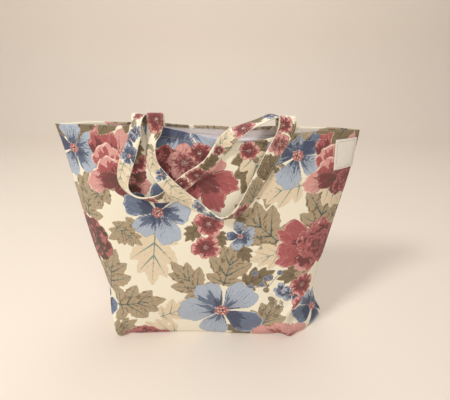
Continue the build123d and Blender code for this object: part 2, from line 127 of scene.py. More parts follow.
# kind, x, height, size, turn in degrees, tone
MOTIFS = (
    ("leaf", -150, 178, 66, 78, "brown"), ("leaf", -118, 232, 48, -118, "brown"),
    ("leaf", -84, 174, 46, -152, "brown"), ("leaf", -64, 168, 80, -98, "tan"),
    ("leaf", -112, 172, 40, -40, "brown"), ("leaf", -142, 70, 74, 70, "brown"),
    ("leaf", -130, 50, 74, 14, "brown"), ("leaf", -66, 34, 56, 30, "tan"), ("leaf", -8, 74, 66, 128, "brown"),
    ("leaf", 18, 90, 72, 76, "brown"), ("leaf", 46, 92, 44, 30, "olive"), ("leaf", 88, 150, 78, 138, "brown"),
    ("leaf", 96, 140, 48, -165, "tan"), ("leaf", 132, 168, 80, 76, "brown"),
    ("leaf", 154, 176, 60, 48, "brown"), ("leaf", 62, 276, 66, -112, "olive"),
    ("leaf", 74, 250, 54, -98, "brown"), ("leaf", 106, 224, 54, -168, "tan"), ("leaf", 46, 258, 54, -58, "tan"),
    ("leaf", 132, 230, 50, -50, "tan"), ("leaf", 66, 12, 62, 76, "brown"), ("leaf", 52, 4, 40, 152, "olive"),
    ("leaf", 160, 288, 74, 182, "olive"), ("leaf", -118, 292, 70, 184, "olive"),
    ("leaf", -52, 244, 40, -70, "brown"), ("leaf", 34, 190, 20, -70, "olive"),
    ("leaf", -10, 176, 30, -130, "olive"), ("leaf", 36, 150, 30, -60, "olive"),
    ("leaf", -44, 4, 54, 168, "tan"), ("leaf", 126, 112, 42, 196, "olive"), ("leaf", -128, 2, 44, 40, "brown"),
    ("leaf", 118, 100, 34, 70, "brown"), ("leaf", 12, 168, 24, -78, "olive"),
    ("spray", 76, 88, 28, 118, "navy"), ("spray", 92, 62, 30, 190, "line"), ("spray", 62, 236, 26, 60, "line"),
    ("mallow", -150, 262, 32, 20, "sky"), ("peony", -106, 228, 58, 0, "rose"),
    ("mallow", -26, 292, 46, 200, "slate"), ("hibiscus", -13, 234, 46, -12, "rose"),
    ("rose", -48, 248, 20, 80, "rose"), ("blossom", -26, 249, 20, 20, "pink"),
    ("blossom", -9, 260, 13, 30, "rose"), ("blossom", 44, 264, 11, 10, "rose"),
    ("mallow", -60, 190, 39, 150, "slate"), ("rose", -158, 146, 36, 40, "maroon"),
    ("blossom", 0, 177, 17, 12, "rose"), ("blossom", -4, 146, 17, 48, "rose"),
    ("mallow", 38, 162, 18, 30, "sky"), ("hibiscus", 138, 146, 56, 196, "rose"),
    ("rose", 140, 144, 35, 20, "rose"), ("mallow", 97, 258, 37, -110, "sky"),
    ("peony", 140, 228, 58, 0, "rose"), ("rose", 162, 228, 20, 0, "rose"), ("mallow", 15, 48, 54, 186, "sky"),
    ("mallow", 94, 82, 12, 20, "slate"), ("mallow", 105, 74, 14, 60, "slate"),
    ("blossom", 122, 88, 18, 20, "rose"), ("blossom", 116, 56, 15, 60, "rose"),
    ("blossom", 92, -4, 36, 18, "pink"), ("mallow", 154, 26, 36, -104, "slate"),
    ("mallow", -160, 40, 30, 80, "slate"), ("rose", -84, -16, 36, 20, "rose"),
    ("rose", 24, -34, 30, 50, "pink"), ("blossom", -78, 250, 13, 20, "rose"),
    ("leaf", -80, 274, 24, -84, "olive"), ("leaf", -74, 307, 76, 180, "olive"),
    ("leaf", 112, 297, 62, 184, "brown"), ("leaf", 176, 299, 76, 180, "olive"),
)
# The same on the straps: place across, place along from the left end, size, turn, tone.
FRONT_STRAP_MOTIFS = (
    ("mallow", -2, 10, 10, 0, "sky"), ("leaf", 4, 40, 14, 60, "olive"), ("blossom", 1, 30, 13, 20, "rose"),
    ("leaf", -4, 56, 34, 84, "brown"), ("leaf", 5, 62, 30, 104, "tan"), ("mallow", 4, 92, 9, 30, "slate"),
    ("leaf", 3, 98, 44, 94, "tan"), ("leaf", -7, 116, 28, 72, "tan"), ("mallow", 3, 147, 10, 10, "sky"),
    ("leaf", 3, 178, 22, 96, "olive"), ("mallow", -3, 167, 13, 50, "slate"), ("leaf", 4, 204, 42, 92, "brown"),
    ("leaf", -6, 212, 36, 78, "brown"), ("blossom", -3, 199, 11, 10, "rose"),
    ("leaf", -4, 242, 36, 92, "olive"), ("leaf", 7, 246, 28, 80, "olive"), ("leaf", -5, 296, 16, 120, "olive"),
    ("blossom", 0, 284, 13, 30, "pink"), ("blossom", 5, 305, 10, 0, "rose"), ("leaf", 0, 316, 18, 90, "brown"),
)
BACK_STRAP_MOTIFS = (
    ("leaf", 2, 4, 18, 90, "brown"), ("blossom", 3, 28, 9, 0, "rose"), ("leaf", -4, 34, 14, 80, "brown"),
    ("mallow", 3, 48, 8, 20, "sky"), ("mallow", -4, 58, 9, 60, "slate"), ("mallow", 1, 75, 13, 10, "slate"),
    ("leaf", -2, 84, 36, 94, "tan"), ("leaf", 6, 96, 22, 70, "tan"), ("blossom", -4, 139, 12, 30, "rose"),
    ("leaf", 3, 148, 16, 70, "olive"), ("leaf", -2, 156, 26, 100, "tan"), ("blossom", 2, 184, 10, 10, "rose"),
    ("blossom", -2, 204, 12, 40, "rose"), ("leaf", 1, 214, 26, 92, "olive"), ("leaf", -4, 240, 30, 84, "brown"),
    ("leaf", 5, 242, 26, 100, "tan"), ("blossom", 1, 241, 6, 0, "rose"), ("leaf", 4, 284, 24, 86, "olive"),
    ("blossom", -1, 276, 13, 20, "rose"), ("mallow", 0, 312, 10, 0, "slate"), ("leaf", 0, 320, 20, 90, "olive"),
)


def paint(red, green, blue):
    """A colour given as 0 to 255 screen values, as the linear values that the materials use."""
    shares = [value / 255 for value in (red, green, blue)]
    return tuple(share / 12.92 if share <= 0.04045 else ((share + 0.055) / 1.055) ** 2.4 for share in shares)


def colour_property(name, description, screen):
    """A colour swatch for the sidebar."""
    return FloatVectorProperty(name=name, description=description, default=paint(*screen), subtype="COLOR",
                               min=0, max=1)


def length_property(name, description, millimetres):
    """A length for the sidebar, shown in the scene's units."""
    return FloatProperty(name=name, description=description, default=millimetres * MM, unit="LENGTH", min=0)


class BagSizes(bpy.types.PropertyGroup):
    """Lengths that a user would change."""

    strap_width: length_property("Strap width", "Width of a handle", 17.0)
    strap_thickness: length_property("Strap thickness", "Thickness of a handle at its middle", 2.1)
    fold_depth: length_property("Fold depth", "Height of the slow folds in the panels", 1.5)
    crease_depth: length_property("Crease depth", "Depth of the crease beside each ear of the base", 12.0)
    base_radius: length_property("Base radius", "Rounding of the base's front and back edges", 3.6)
    stitch_length: length_property("Stitch length", "Length of one topstitch", 2.4)
    coil_wire: length_property("Coil wire", "Thickness of the zip's nylon coil", 0.62)
    weave: length_property("Weave", "Distance between two yarns of the cloth", 0.55)


class BagColours(bpy.types.PropertyGroup):
    """Ground, printing inks, thread, zip and metal."""

    ground: colour_property("Ground", "Unprinted cotton", (246, 238, 216))
    tan: colour_property("Tan", "Pale leaves", (229, 209, 178))
    brown: colour_property("Brown", "Leaves", (168, 145, 112))
    olive: colour_property("Olive", "Dark leaves and leaf shade", (122, 106, 78))
    sky: colour_property("Sky", "Pale blue petals", (166, 180, 200))
    slate: colour_property("Slate", "Blue petals", (94, 107, 134))
    navy: colour_property("Navy", "Blue petal lines", (62, 70, 96))
    pink: colour_property("Pink", "Pink petals", (216, 148, 142))
    rose: colour_property("Rose", "Red petals", (164, 74, 78))
    maroon: colour_property("Maroon", "Red petal shade", (108, 50, 52))
    teal: colour_property("Teal", "Leaf veins", (108, 140, 128))
    blush: colour_property("Blush", "Petal lights", (246, 214, 200))
    line: colour_property("Line", "Fine drawing", (84, 66, 52))
    reverse: colour_property("Reverse", "Unprinted back of the cloth", (243, 236, 236))
    thread: colour_property("Thread", "Topstitching", (216, 202, 178))
    zip_tape: colour_property("Zip tape", "Woven tape", (246, 240, 242))
    zip_coil: colour_property("Zip coil", "Nylon coil", (236, 230, 232))
    label: colour_property("Label", "Blank woven label", (250, 243, 230))
    metal: colour_property("Metal", "Nickel plating", (198, 194, 188))
    floor: colour_property("Floor", "Studio floor and backdrop", (238, 227, 214))


# Shader maths


class Field:
    """One socket of a material's node tree. Arithmetic on it adds Math nodes and gives the socket of the
    result."""

    def __init__(self, tree, socket=None):
        self.tree, self.socket = tree, socket

    def node(self, kind, settings=None, inputs=None, output=0):
        """Adds a node of any kind to the tree: its settings first, then the values or links of its sockets."""
        node = self.tree.nodes.new(kind)
        for name, value in (settings or {}).items():
            setattr(node, name, value)
        for name, value in (inputs or {}).items():
            if isinstance(value, Field):
                self.tree.links.new(value.socket, node.inputs[name])
            else:
                node.inputs[name].default_value = value
        return Field(self.tree, node.outputs[output])

    def math(self, operation, *values, clamp=False):
        """A Math node over numbers and sockets."""
        settings = {"operation": operation, "use_clamp": clamp}
        return self.node("ShaderNodeMath", settings, dict(enumerate(values)))

    def __add__(self, other):
        return self.math("ADD", self, other)

    def __sub__(self, other):
        return self.math("SUBTRACT", self, other)

    def __rsub__(self, other):
        return self.math("SUBTRACT", other, self)

    def __mul__(self, other):
        return self.math("MULTIPLY", self, other)

    __radd__ = __add__
    __rmul__ = __mul__

    def clamped(self):
        """This value held between 0 and 1."""
        return self.math("ADD", self, 0.0, clamp=True)

    def sine(self):
        """The sine of this value, taken as radians."""
        return self.math("SINE", self)

    def mix(self, low, high):
        """A colour between low and high by this factor."""
        return self.node("ShaderNodeMix", {"data_type": "RGBA"}, {0: self, 6: low, 7: high}, output=2)

    def noise(self, scale, detail=2.0, roughness=0.5):
        """Noise from 0 to 1 over this vector."""
        sockets = {"Vector": self, "Scale": scale, "Detail": detail, "Roughness": roughness}
        return self.node("ShaderNodeTexNoise", None, sockets)

    def attribute(self, name):
        """A float field stored on the mesh's points."""
        return self.node("ShaderNodeAttribute", {"attribute_name": name}, output=2)


def opaque(colour, share=1.0):
    """A colour, or a darker share of it, with full alpha."""
    return (*(share * value for value in colour), 1.0)


def material(name, sockets, colour, roughness, height=None, bump=0.0, distance=0.0004):
    """A Principled surface from fields: colour and roughness may vary, and height feeds a Bump into Normal."""
    finish = bpy.data.materials.new(name)
    finish.use_nodes = True
    tree = finish.node_tree
    shader = tree.nodes["Principled BSDF"]
    for key, value in sockets.items():
        shader.inputs[key].default_value = value
    root = Field(tree)
    for key, field in (("Base Color", colour(root)), ("Roughness", roughness(root))):
        if isinstance(field, Field):
            tree.links.new(field.socket, shader.inputs[key])
        else:
            shader.inputs[key].default_value = field
    if height is not None:
        inputs = {"Strength": bump, "Distance": distance, "Height": height(root)}
        tree.links.new(root.node("ShaderNodeBump", None, inputs).socket, shader.inputs["Normal"])
    return finish


def object_place(root):
    """The point's own place in the object, in metres."""
    return root.node("ShaderNodeTexCoord", output=3)


def yarns(root, pitch):
    """Plain weave from the piece's own map: the product of two sine waves a yarn apart, from -1 to 1."""
    place = root.node("ShaderNodeTexCoord", output=2)
    parts = [root.node("ShaderNodeSeparateXYZ", None, {0: place}, output=axis) for axis in (0, 1)]
    across, along = ((part * (2 * math.pi / pitch)).sine() for part in parts)
    return across * along


def printed_cotton(name, sizes, colours):
    """Printed cotton: each ink covers where its field is under zero, with a stippled edge, over the
    unprinted ground."""

    def colour(root):
        place = object_place(root)
        grain = place.noise(1500.0, 2.0) - 0.5
        blot = place.noise(420.0, 3.0, 0.6) - 0.5
        edge = grain * 0.9 + blot * 1.1
        sheet = opaque(colours.ground)
        cover = 0.90 + blot * 0.45
        for ink in INKS:
            mask = (0.5 - (root.attribute("ink_" + ink) + edge) * 2.2).clamped()
            sheet = (mask * cover).clamped().mix(sheet, opaque(getattr(colours, ink)))
        sheet = (root.attribute("reverse") * 0.82).mix(sheet, opaque(colours.reverse))
        shade = (yarns(root, sizes.weave) * 0.05 + grain * 0.10 + 0.04).clamped()
        return shade.mix(sheet, opaque(colours.ground, 0.45))

    def roughness(root):
        return 0.80 + object_place(root).noise(160.0) * 0.14

    def height(root):
        return yarns(root, sizes.weave) * 0.5 + object_place(root).noise(260.0, 3.0) * 0.8

    return material(name, {"Sheen Weight": 0.12, "Sheen Roughness": 0.6, "Specular IOR Level": 0.25},
                    colour, roughness, height, bump=0.35)


def plain_yarn(name, base, pitch, depth, rough):
    """Unprinted yarn: one colour, paler and darker by weave and by soft noise."""

    def colour(root):
        shade = yarns(root, pitch) * 0.10 + object_place(root).noise(220.0, 3.0) * 0.30
        return shade.clamped().mix(opaque(base), opaque(base, 0.62))

    def roughness(root):
        return rough + object_place(root).noise(300.0) * 0.1

    def height(root):
        return yarns(root, pitch)

    return material(name, {"Specular IOR Level": 0.3}, colour, roughness, height, bump=depth)


def sewing_thread(name, base):
    """Fine twisted thread for topstitches."""
    return plain_yarn(name, base, 0.4 * MM, 0.3, 0.6)


def plated_metal(name, base):
    """Nickel plate: faint brushing, darker and duller where hands rub it."""

    def colour(root):
        worn = object_place(root).noise(330.0, 4.0, 0.65)
        return (worn * 0.5).clamped().mix(opaque(base), opaque(base, 0.55))

    def roughness(root):
        return 0.20 + object_place(root).noise(520.0, 3.0) * 0.22

    def height(root):
        return object_place(root).noise(1400.0, 2.0)

    return material(name, {"Metallic": 1.0}, colour, roughness, height, bump=0.08)


# Shapes shared with the part's drawing


def along_table(value, places, results):
    """A table read along a smooth curve: cubic pieces whose slope at each place is that of its two
    neighbours."""
    value, places, results = (np.asarray(part, float) for part in (value, places, results))
    slopes = np.empty_like(results)
    slopes[1:-1] = (results[2:] - results[:-2]) / (places[2:] - places[:-2])
    chords = np.diff(results) / np.diff(places)
    slopes[0], slopes[-1] = chords[0], chords[-1]
    low = np.clip(np.searchsorted(places, value) - 1, 0, len(places) - 2)
    span = places[low + 1] - places[low]
    share = np.clip((value - places[low]) / span, 0, 1)
    rest = 1 - share
    ends = results[low] * (1 + 2 * share) * rest**2 + results[low + 1] * (1 + 2 * rest) * share**2
    return ends + span * share * rest * (slopes[low] * rest - slopes[low + 1] * share)


def gape(x):
    """How far the mouth is open at x: half a cosine wave, one in the middle of the gape."""
    across = np.minimum(1.0, np.abs(x - MOUTH_CENTRE) / MOUTH_REACH)
    return (np.cos(np.pi * across) + 1) / 2


def seam_reach(level, right):
    """Distance from the middle line to a side seam at a level."""
    return HALF * along_table(level, LEVEL_SHARES, RIGHT_SHARES if right else LEFT_SHARES)


def wall_depth(x, level, bow):
    """Distance of a panel from the seam plane: a high power of x closes it at the seams, and the mouth bows
    it."""
    x = np.asarray(x, float)
    reach = np.where(x > 0, seam_reach(level, True), seam_reach(level, False))
    slack = along_table(level, LEVEL_SHARES, DEPTH_SHARES) * (BASE_DEPTH - MOUTH_GAP)
    powers = (along_table(level, LEVEL_SHARES, table) for table in (RIGHT_POWERS, LEFT_POWERS))
    plan = 1 - np.minimum(1.0, np.abs(x) / reach) ** np.where(x > 0, *powers)
    return plan * (MOUTH_GAP + slack) / 2 + gape(x) * bow * along_table(level, LEVEL_SHARES, BOW_SHARES)


def rim_height(x, sag):
    """Height of a rim at x, dipped where the mouth gapes."""
    return BAG_HEIGHT - sag * gape(x)


def ramp(value, start, end):
    """Zero before start, one after end, and a smooth step between."""
    share = np.clip((value - start) / (end - start), 0, 1)
    return share * share * (3 - 2 * share)


def bump(value, middle, width):
    """A bell of height one."""
    return np.exp(-(((value - middle) / width) ** 2))


# The front's edge over the right ear, as heights and their x, how far the ear stands out in each millimetre
# from the seam, where the drag lines of the right corner start and which way they run, and the left corner's
# swell, again as heights and their x.
EAR_EDGE = ((0, 16, 34, 48, 58, 76, 100), (119, 111, 107, 113, 121, 133, 146))
EAR_SLOPE = 0.80
DRAG_START, DRAG_WAY = (118, 20), (0.80, 0.60)
LEFT_SWELL = ((0, 20, 45, 70), (-129, -129, -139, -147))


def slow_folds(x, z, phase):
    """Slow folds of hanging cloth: three crossing sine waves, fading out at the seams, the rim and the base."""
    waves = 0.9 * np.sin(x / 47 + 0.8 + phase) * np.sin(z / 58 + 0.3)
    waves += 0.5 * np.sin((x - 0.8 * z) / 25 + 2 * phase) + 0.3 * np.sin((x + 1.3 * z) / 17 + phase)
    room = ramp(HALF - np.abs(x), 4, 40) * ramp(z, 4, 40) * ramp(BAG_HEIGHT - z, 8, 50)
    return waves * room


def front_folds(x, z, sizes):
    """The front's folds: slow ones, drag lines towards the right corner, a swell at each corner, and beside
    the right one a flat ear, sloping straight to the side seam behind the front's edge."""
    depth, crease = sizes.fold_depth / MM, sizes.crease_depth / MM
    folds = depth * slow_folds(x, z, 0.0)
    folds -= 3.0 * depth * (1 - ramp(z, 0, 70)) * bump(x, -25, 65)
    # Drag lines towards the right corner.
    right, up = x - DRAG_START[0], z - DRAG_START[1]
    drag = right * DRAG_WAY[0] + up * DRAG_WAY[1]
    across = right * DRAG_WAY[1] - up * DRAG_WAY[0]
    pull = ramp(-drag, -4, 30) * (1 - ramp(-drag, 60, 130)) * ramp(z, 4, 20)
    folds += depth * pull * (1.5 * bump(across, -16, 8) - bump(across, -32, 9) + 0.8 * bump(across, -50, 12))
    # The front's edge swells, the ear slopes to the seam behind it, and a groove lies between them.
    edge = along_table(z, *EAR_EDGE)
    window = 1 - ramp(z, 70, 100)
    folds += 0.40 * crease * window * bump(x, edge - 7, 8)
    level = np.clip(z / BAG_HEIGHT, 0, 1)
    over = wall_depth(x, level, FRONT_BOW) + folds - EAR_SLOPE * np.maximum(0, seam_reach(level, True) - x)
    folds -= window * ramp(x, edge - 1.5, edge + 4.5) * np.maximum(0, over)
    folds -= 0.75 * crease * bump(x, edge + 4, 2.8) * ramp(z, 14, 34) * (1 - ramp(z, 66, 84))
    # The ear's foot stands out.
    folds += 0.33 * crease * (1 - ramp(z, 6, 34)) * ramp(x, 92, 118) * (1 - ramp(x, 148, 164))
    # The left corner's swell and the hollow beside it.
    left = along_table(z, *LEFT_SWELL)
    window = 1 - ramp(z, 30, 62)
    return folds + crease * window * (0.95 * bump(x, left, 9) - 0.30 * bump(x, left - 12, 4.0))


def back_folds(x, z, sizes):
    """The back's folds: slow ones and a soft hollow across the middle."""
    hollow = 0.8 * bump(z, 120, 50) * ramp(HALF - np.abs(x), 10, 70)
    return sizes.fold_depth / MM * (slow_folds(x, z, 2.1) - hollow)


# Meshes


def stacked(*parts):
    """Coordinates broadcast together and stacked as points."""
    return np.stack(np.broadcast_arrays(*parts), axis=-1)


def grid_quads(rows, columns, start=0, closed=False):
    """Corner numbers of the quads of a grid of points, row by row; a closed grid joins its last column to
    its first."""
    row = np.arange(rows - 1)[:, None]
    column = np.arange(columns if closed else columns - 1)[None, :]
    after = (column + 1) % columns
    near, far = row * columns, (row + 1) * columns
    corners = (near + column, near + after, far + after, far + column)
    return start + stacked(*corners).reshape(-1, 4)


def make_piece(name, points, faces, finish, cloth_map=None, fields=None):
    """A mesh object at the origin from points in millimetres, with a map in metres and float fields on its
    points."""
    mesh = bpy.data.meshes.new(name)
    metres = np.asarray(points).reshape(-1, 3) * MM
    mesh.from_pydata(metres.tolist(), [], [list(map(int, face)) for face in faces])
    for field, values in (fields or {}).items():
        layer = mesh.attributes.new(field, "FLOAT", "POINT")
        layer.data.foreach_set("value", np.ravel(values).astype(np.float32))
    if cloth_map is not None:
        corners = np.empty(len(mesh.loops), dtype=np.int32)
        mesh.loops.foreach_get("vertex_index", corners)
        flat = (np.asarray(cloth_map).reshape(-1, 2) * MM)[corners]
        mesh.uv_layers.new(name="cloth").data.foreach_set("uv", flat.astype(np.float32).ravel())
    shape = bmesh.new()
    shape.from_mesh(mesh)
    bmesh.ops.recalc_face_normals(shape, faces=shape.faces)
    shape.to_mesh(mesh)
    shape.free()
    mesh.polygons.foreach_set("use_smooth", np.ones(len(mesh.polygons), dtype=bool))
    mesh.materials.append(finish)
    piece = bpy.data.objects.new(name, mesh)
    bpy.context.scene.collection.objects.link(piece)
    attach(piece, "bag")
    return piece


def unit(vectors):
    """Vectors scaled to length one."""
    return vectors / np.maximum(np.linalg.norm(vectors, axis=-1, keepdims=True), 1e-9)


def carried(path, width, face, profile):
    """A closed profile carried along a path: each point is path + across * width + through * face."""
    across, through = np.asarray(profile).T
    return path[:, None] + across[:, None] * width[:, None] + through[:, None] * face[:, None]


def tube_faces(rings, sides):
    """Quads round a run of rings, with a flat cap at each end."""
    caps = [list(range(sides)), list(range((rings - 1) * sides, rings * sides))]
    return [*grid_quads(rings, sides, closed=True).tolist(), *caps]


THREAD_WIDE, THREAD_HIGH = 0.20, 0.22  # half a topstitch's width and height
STITCH_GAP, LABEL_STITCH_GAP = 0.9, 0.6  # between two topstitches


def stitches(name, places, along, out, length, finish):
    """Topstitches: a small grain of thread at each place, an ellipsoid lying along the seam and half sunk
    in the cloth."""
    sides = 6
    bands, turns = np.linspace(0.5, np.pi - 0.5, 4), np.linspace(0, 2 * np.pi, sides + 1)[:-1]
    band, turn = np.meshgrid(bands, turns, indexing="ij")
    ring = np.sin(band)
    grain = stacked(np.cos(band), ring * np.cos(turn), ring * np.sin(turn)).reshape(-1, 3)
    axes = np.stack((along * length / 2, np.cross(out, along) * THREAD_WIDE, out * THREAD_HIGH), axis=1)
    points = places[:, None] + np.einsum("pk,nkd->npd", grain, axes)
    starts = (np.arange(len(places)) * len(grain))[:, None, None]
    one = tube_faces(len(bands), sides)
    quads, caps = (np.array(part)[None] + starts for part in (one[:-2], one[-2:]))
    return make_piece(name, points, [*quads.reshape(-1, 4).tolist(), *caps.reshape(-1, sides).tolist()], finish,
                      cloth_map=points.reshape(-1, 3)[:, (0, 2)])


def run_of(line):
    """Distance of each point of a line from its start, along the line."""
    return np.concatenate(([0.0], np.cumsum(np.linalg.norm(np.diff(line, axis=0), axis=1))))


def read_along(at, run, line, reader=np.interp):
    """A line of points or directions read at distances along it, axis by axis."""
    return stacked(*(reader(at, run, line[:, axis]) for axis in range(3)))


def seam_places(line, pitch):
    """Distances, the line's run, places and directions a stitch pitch apart along a line of points."""
    run = run_of(line)
    at = np.arange(pitch, run[-1] - pitch, pitch)
    places = read_along(at, run, line)
    return at, run, places, unit(read_along(at + 0.5, run, line) - places)


# The print


# Inks of a petal: its lightest tone, the middle one, the deep one and the fine lines.
BLUE_TONES = ("sky", "slate", "navy", "navy")
RED_TONES = ("pink", "rose", "maroon", "maroon")
DARK_TONES = ("rose", "maroon", "line", "line")
# Lobes of a leaf: where each leaves the midrib, its lean in degrees, its length and its half width, in leaf
# sizes.
LEAF_LOBES = (
    (0.00, 0, 1.00, 0.185), (0.44, 32, 0.44, 0.120), (0.44, -34, 0.44, 0.120), (0.22, 48, 0.52, 0.140),
    (0.22, -46, 0.52, 0.140), (0.06, 72, 0.38, 0.115), (0.06, -74, 0.36, 0.115),
)
# Petals of a hibiscus and of a peony's heart: lean in degrees, size in flower sizes, spread in degrees, and
# how far the middle tone covers it. A peony's outer petals also have the width of their pale edge. Rings of a
# rose: size, number of petals, spread, and shift of the middle.
HIBISCUS_PETALS = (
    (260, 0.62, 36, 1.3), (190, 0.55, 40, 1.3), (105, 0.55, 36, 0.7), (45, 0.74, 34, 0.55), (0, 1.00, 27, 1.3),
    (-42, 1.00, 26, 1.3),
)
PEONY_HEART = (
    (-28, 0.40, 36, 0.4), (182, 0.60, 26, 1.3), (232, 0.40, 34, 1.3), (285, 0.34, 34, 1.3), (28, 0.34, 36, 1.3),
    (90, 0.26, 44, 1.3), (140, 0.30, 34, 1.3),
)
PEONY_PETALS = (
    (72, 0.98, 17, 0.30, 0), (100, 1.00, 25, 1.40, 0), (104, 0.69, 36, 0.84, 0.035),
    (112, 0.47, 50, 0.78, 0.05), (186, 0.56, 34, 0.45, 0.035), (60, 0.46, 30, 0.7, 0.035),
)
ROSE_RINGS = (
    (1.00, 5, 44, 0.0), (0.84, 5, 46, 0.06), (0.66, 4, 56, 0.12), (0.47, 4, 58, 0.16), (0.30, 3, 75, 0.16),
)


class Printing:
    """Ink fields over points of cloth. A field is roughly the distance in millimetres to that ink's edge,
    negative inside, and each new motif clears what lies under its outline before its own inks go on."""

    def __init__(self, x, z):
        self.x, self.z = np.ravel(x), np.ravel(z)
        self.fields = {ink: np.full(self.x.shape, FAR) for ink in INKS}

    def place(self, x, z, turn, reach):
        """Points near a motif, and their places along and across its own axis."""
        near = np.flatnonzero((np.abs(self.x - x) < reach) & (np.abs(self.z - z) < reach))
        right, up = self.x[near] - x, self.z[near] - z
        turn = math.radians(turn)
        return near, right * math.cos(turn) + up * math.sin(turn), up * math.cos(turn) - right * math.sin(turn)

    def lay(self, near, outline, **inks):
        """Clears all that lies inside an outline, then lays the given inks there."""
        for ink, field in self.fields.items():
            under = np.maximum(field[near], -outline)
            if ink in inks:
                under = np.minimum(under, np.maximum(inks[ink], outline))
            field[near] = under

    def leaf(self, x, z, size, turn, tone):
        """A lobed leaf: the union of a body and seven pointed lobes, each a sine-sided blade along its own
        rib with a toothed edge. One side of every rib is shaded in ragged strokes, and chevron veins leave
        the rib."""
        near, along, across = self.place(x, z, turn, 1.25 * size)
        if not len(near):
            return
        outline = np.full(near.shape, FAR)
        shade, rib, veins = outline.copy(), outline.copy(), outline.copy()
        for root, lean, length, width in LEAF_LOBES:
            lean, length, width = math.radians(lean), length * size, width * size
            ahead = along - root * size
            on = ahead * math.cos(lean) + across * math.sin(lean)
            off = across * math.cos(lean) - ahead * math.sin(lean)
            share = np.clip(on / length, 0, 1)
            past = np.maximum(0, np.maximum(-on, on - length))
            teeth = np.abs((on / (0.11 * size) + 0.2 * np.sign(off)) % 1 - 0.5)
            blade = width * np.sin(np.pi * share**0.85) ** 0.75 * (0.90 + 0.34 * teeth)
            edge = np.abs(off) - blade + past
            outline = np.minimum(outline, edge)
            ragged = 0.74 + 0.16 * np.sin(on * 34 / size) + 0.14 * np.sin(on * 65 / size + off)
            shade = np.minimum(shade, np.maximum(edge + 0.01 * size, ragged * blade - off))
            rib = np.minimum(rib, np.abs(off) - 0.011 * size * (1.05 - share) - 0.12 + past)
            chevron = np.abs((on - np.abs(off)) / (0.13 * size) % 1 - 0.5) * 0.13 * size
            veins = np.minimum(veins, np.maximum(chevron - 0.14 - 0.003 * size, edge + 0.05 * size))
        body = np.hypot((along - 0.30 * size) / 1.35, across) - 0.20 * size
        outline = np.minimum(outline, body)
        if tone == "tan":
            inks = {"tan": outline, "teal": rib, "brown": veins + 0.05}
        elif tone == "olive":
            dark = np.minimum(shade - 1.0, outline + 1.2)
            inks = {"brown": outline, "olive": dark, "line": np.minimum(veins, rib)}
        else:
            inks = {"brown": outline, "olive": shade, "line": np.minimum(veins, rib + 0.25), "teal": rib - 0.1}
        self.lay(near, outline, **inks)

    def petal(self, x, z, size, turn, spread, tones, cover, ruffle, edging=0.0):
        """A fan-shaped petal inside its angle and a ruffled edge. Its lightest tone lies under it all. The
        middle and deep tones grow out from its root to their shares of the petal in ragged strokes, the
        middle one broken by light strokes along the edge, and fine lines run out from the root. A pale band
        may follow the edge."""
        near, along, across = self.place(x, z, turn, 1.2 * size)
        if not len(near):
            return
        light, middle, deep, fine_ink = tones
        radius, angle = np.hypot(along, across) + 1e-6, np.arctan2(across, along)
        wide = math.radians(spread)
        bend = angle / wide
        reach = radius / size
        frill = 0.5 * np.sin(6 * bend + size) + 0.3 * np.sin(13 * bend + 2 * size)
        frill += 0.3 * np.abs(np.sin(9 * bend + x))
        edge = size * (1 - 0.34 * np.abs(bend) ** 2.8 + ruffle * frill)
        outline = np.maximum(radius - edge, (np.abs(bend) - 1) * wide * radius)
        streak = 0.45 * np.sin(7 * bend + 1.3 * size) + 0.3 * np.sin(16 * bend + x + 3 * reach)
        streak += 0.35 * (scatter(np.floor(bend * 15 + 40), x + z) - 0.5) + 0.2 * np.sin(37 * bend + z)
        fold = 0.16 * np.sign(math.sin(size * 7 + turn)) * bend
        lane = bend * 9 + 0.5 * np.sin(4 * reach + x)
        chance = scatter(np.floor(lane), x - z)
        stroke = np.abs(lane % 1 - 0.5) / 9 * wide * radius
        gleam = np.maximum(stroke - 0.009 * size * chance - 0.05, size * (0.52 + 0.50 * chance) - radius)
        rim = np.abs(outline + 0.026 * size) - 0.013 * size * (0.9 + 1.2 * streak)
        half = radius - size * (cover[0] + 0.28 * streak + fold)
        dark = radius - size * (cover[1] + 0.15 * streak - fold)
        fine = np.abs((bend * 6 + 0.3 * np.sin(reach * 5)) % 1 - 0.5) / 6 * wide * radius
        fine = np.maximum(fine - 0.28, np.maximum(0.14 * size - radius, radius - (0.78 + 0.25 * streak) * edge))
        line = np.maximum(np.abs(outline + 0.25) - 0.38, 0.22 * size - radius)
        inks = {light: outline, fine_ink: np.minimum(fine, line)}
        for ink, field in ((middle, np.maximum(half, -np.minimum(gleam, rim))), (deep, dark)):
            inks[ink] = np.minimum(inks.get(ink, field), field)
        if edging:
            inks["blush"] = edge - size * edging * (1 + 1.1 * streak) - radius
        self.lay(near, outline, **inks)

    def centre(self, x, z, size, ring, heart, dots):
        """A flower's heart: a bumpy disc, a smaller one in it, and dots along a spiral."""
        near, along, across = self.place(x, z, 0, 1.6 * size)
        if not len(near):
            return
        radius, angle = np.hypot(along, across), np.arctan2(across, along)
        outline = radius - size * (1 + 0.12 * np.sin(7 * angle + x) + 0.09 * np.sin(11 * angle))
        inner = radius - 0.42 * size * (1 + 0.18 * np.sin(5 * angle + z) + 0.12 * np.sin(8 * angle))
        dot = np.full(near.shape, FAR)
        for number in range(9):
            turn, reach = 2.4 * number + z, size * (0.92 - 0.085 * number)
            dot = np.minimum(dot, np.hypot(along - reach * math.cos(turn), across - reach * math.sin(turn)))
        self.lay(near, outline, **{ring: outline, heart: inner, dots: dot - 0.15 * size})

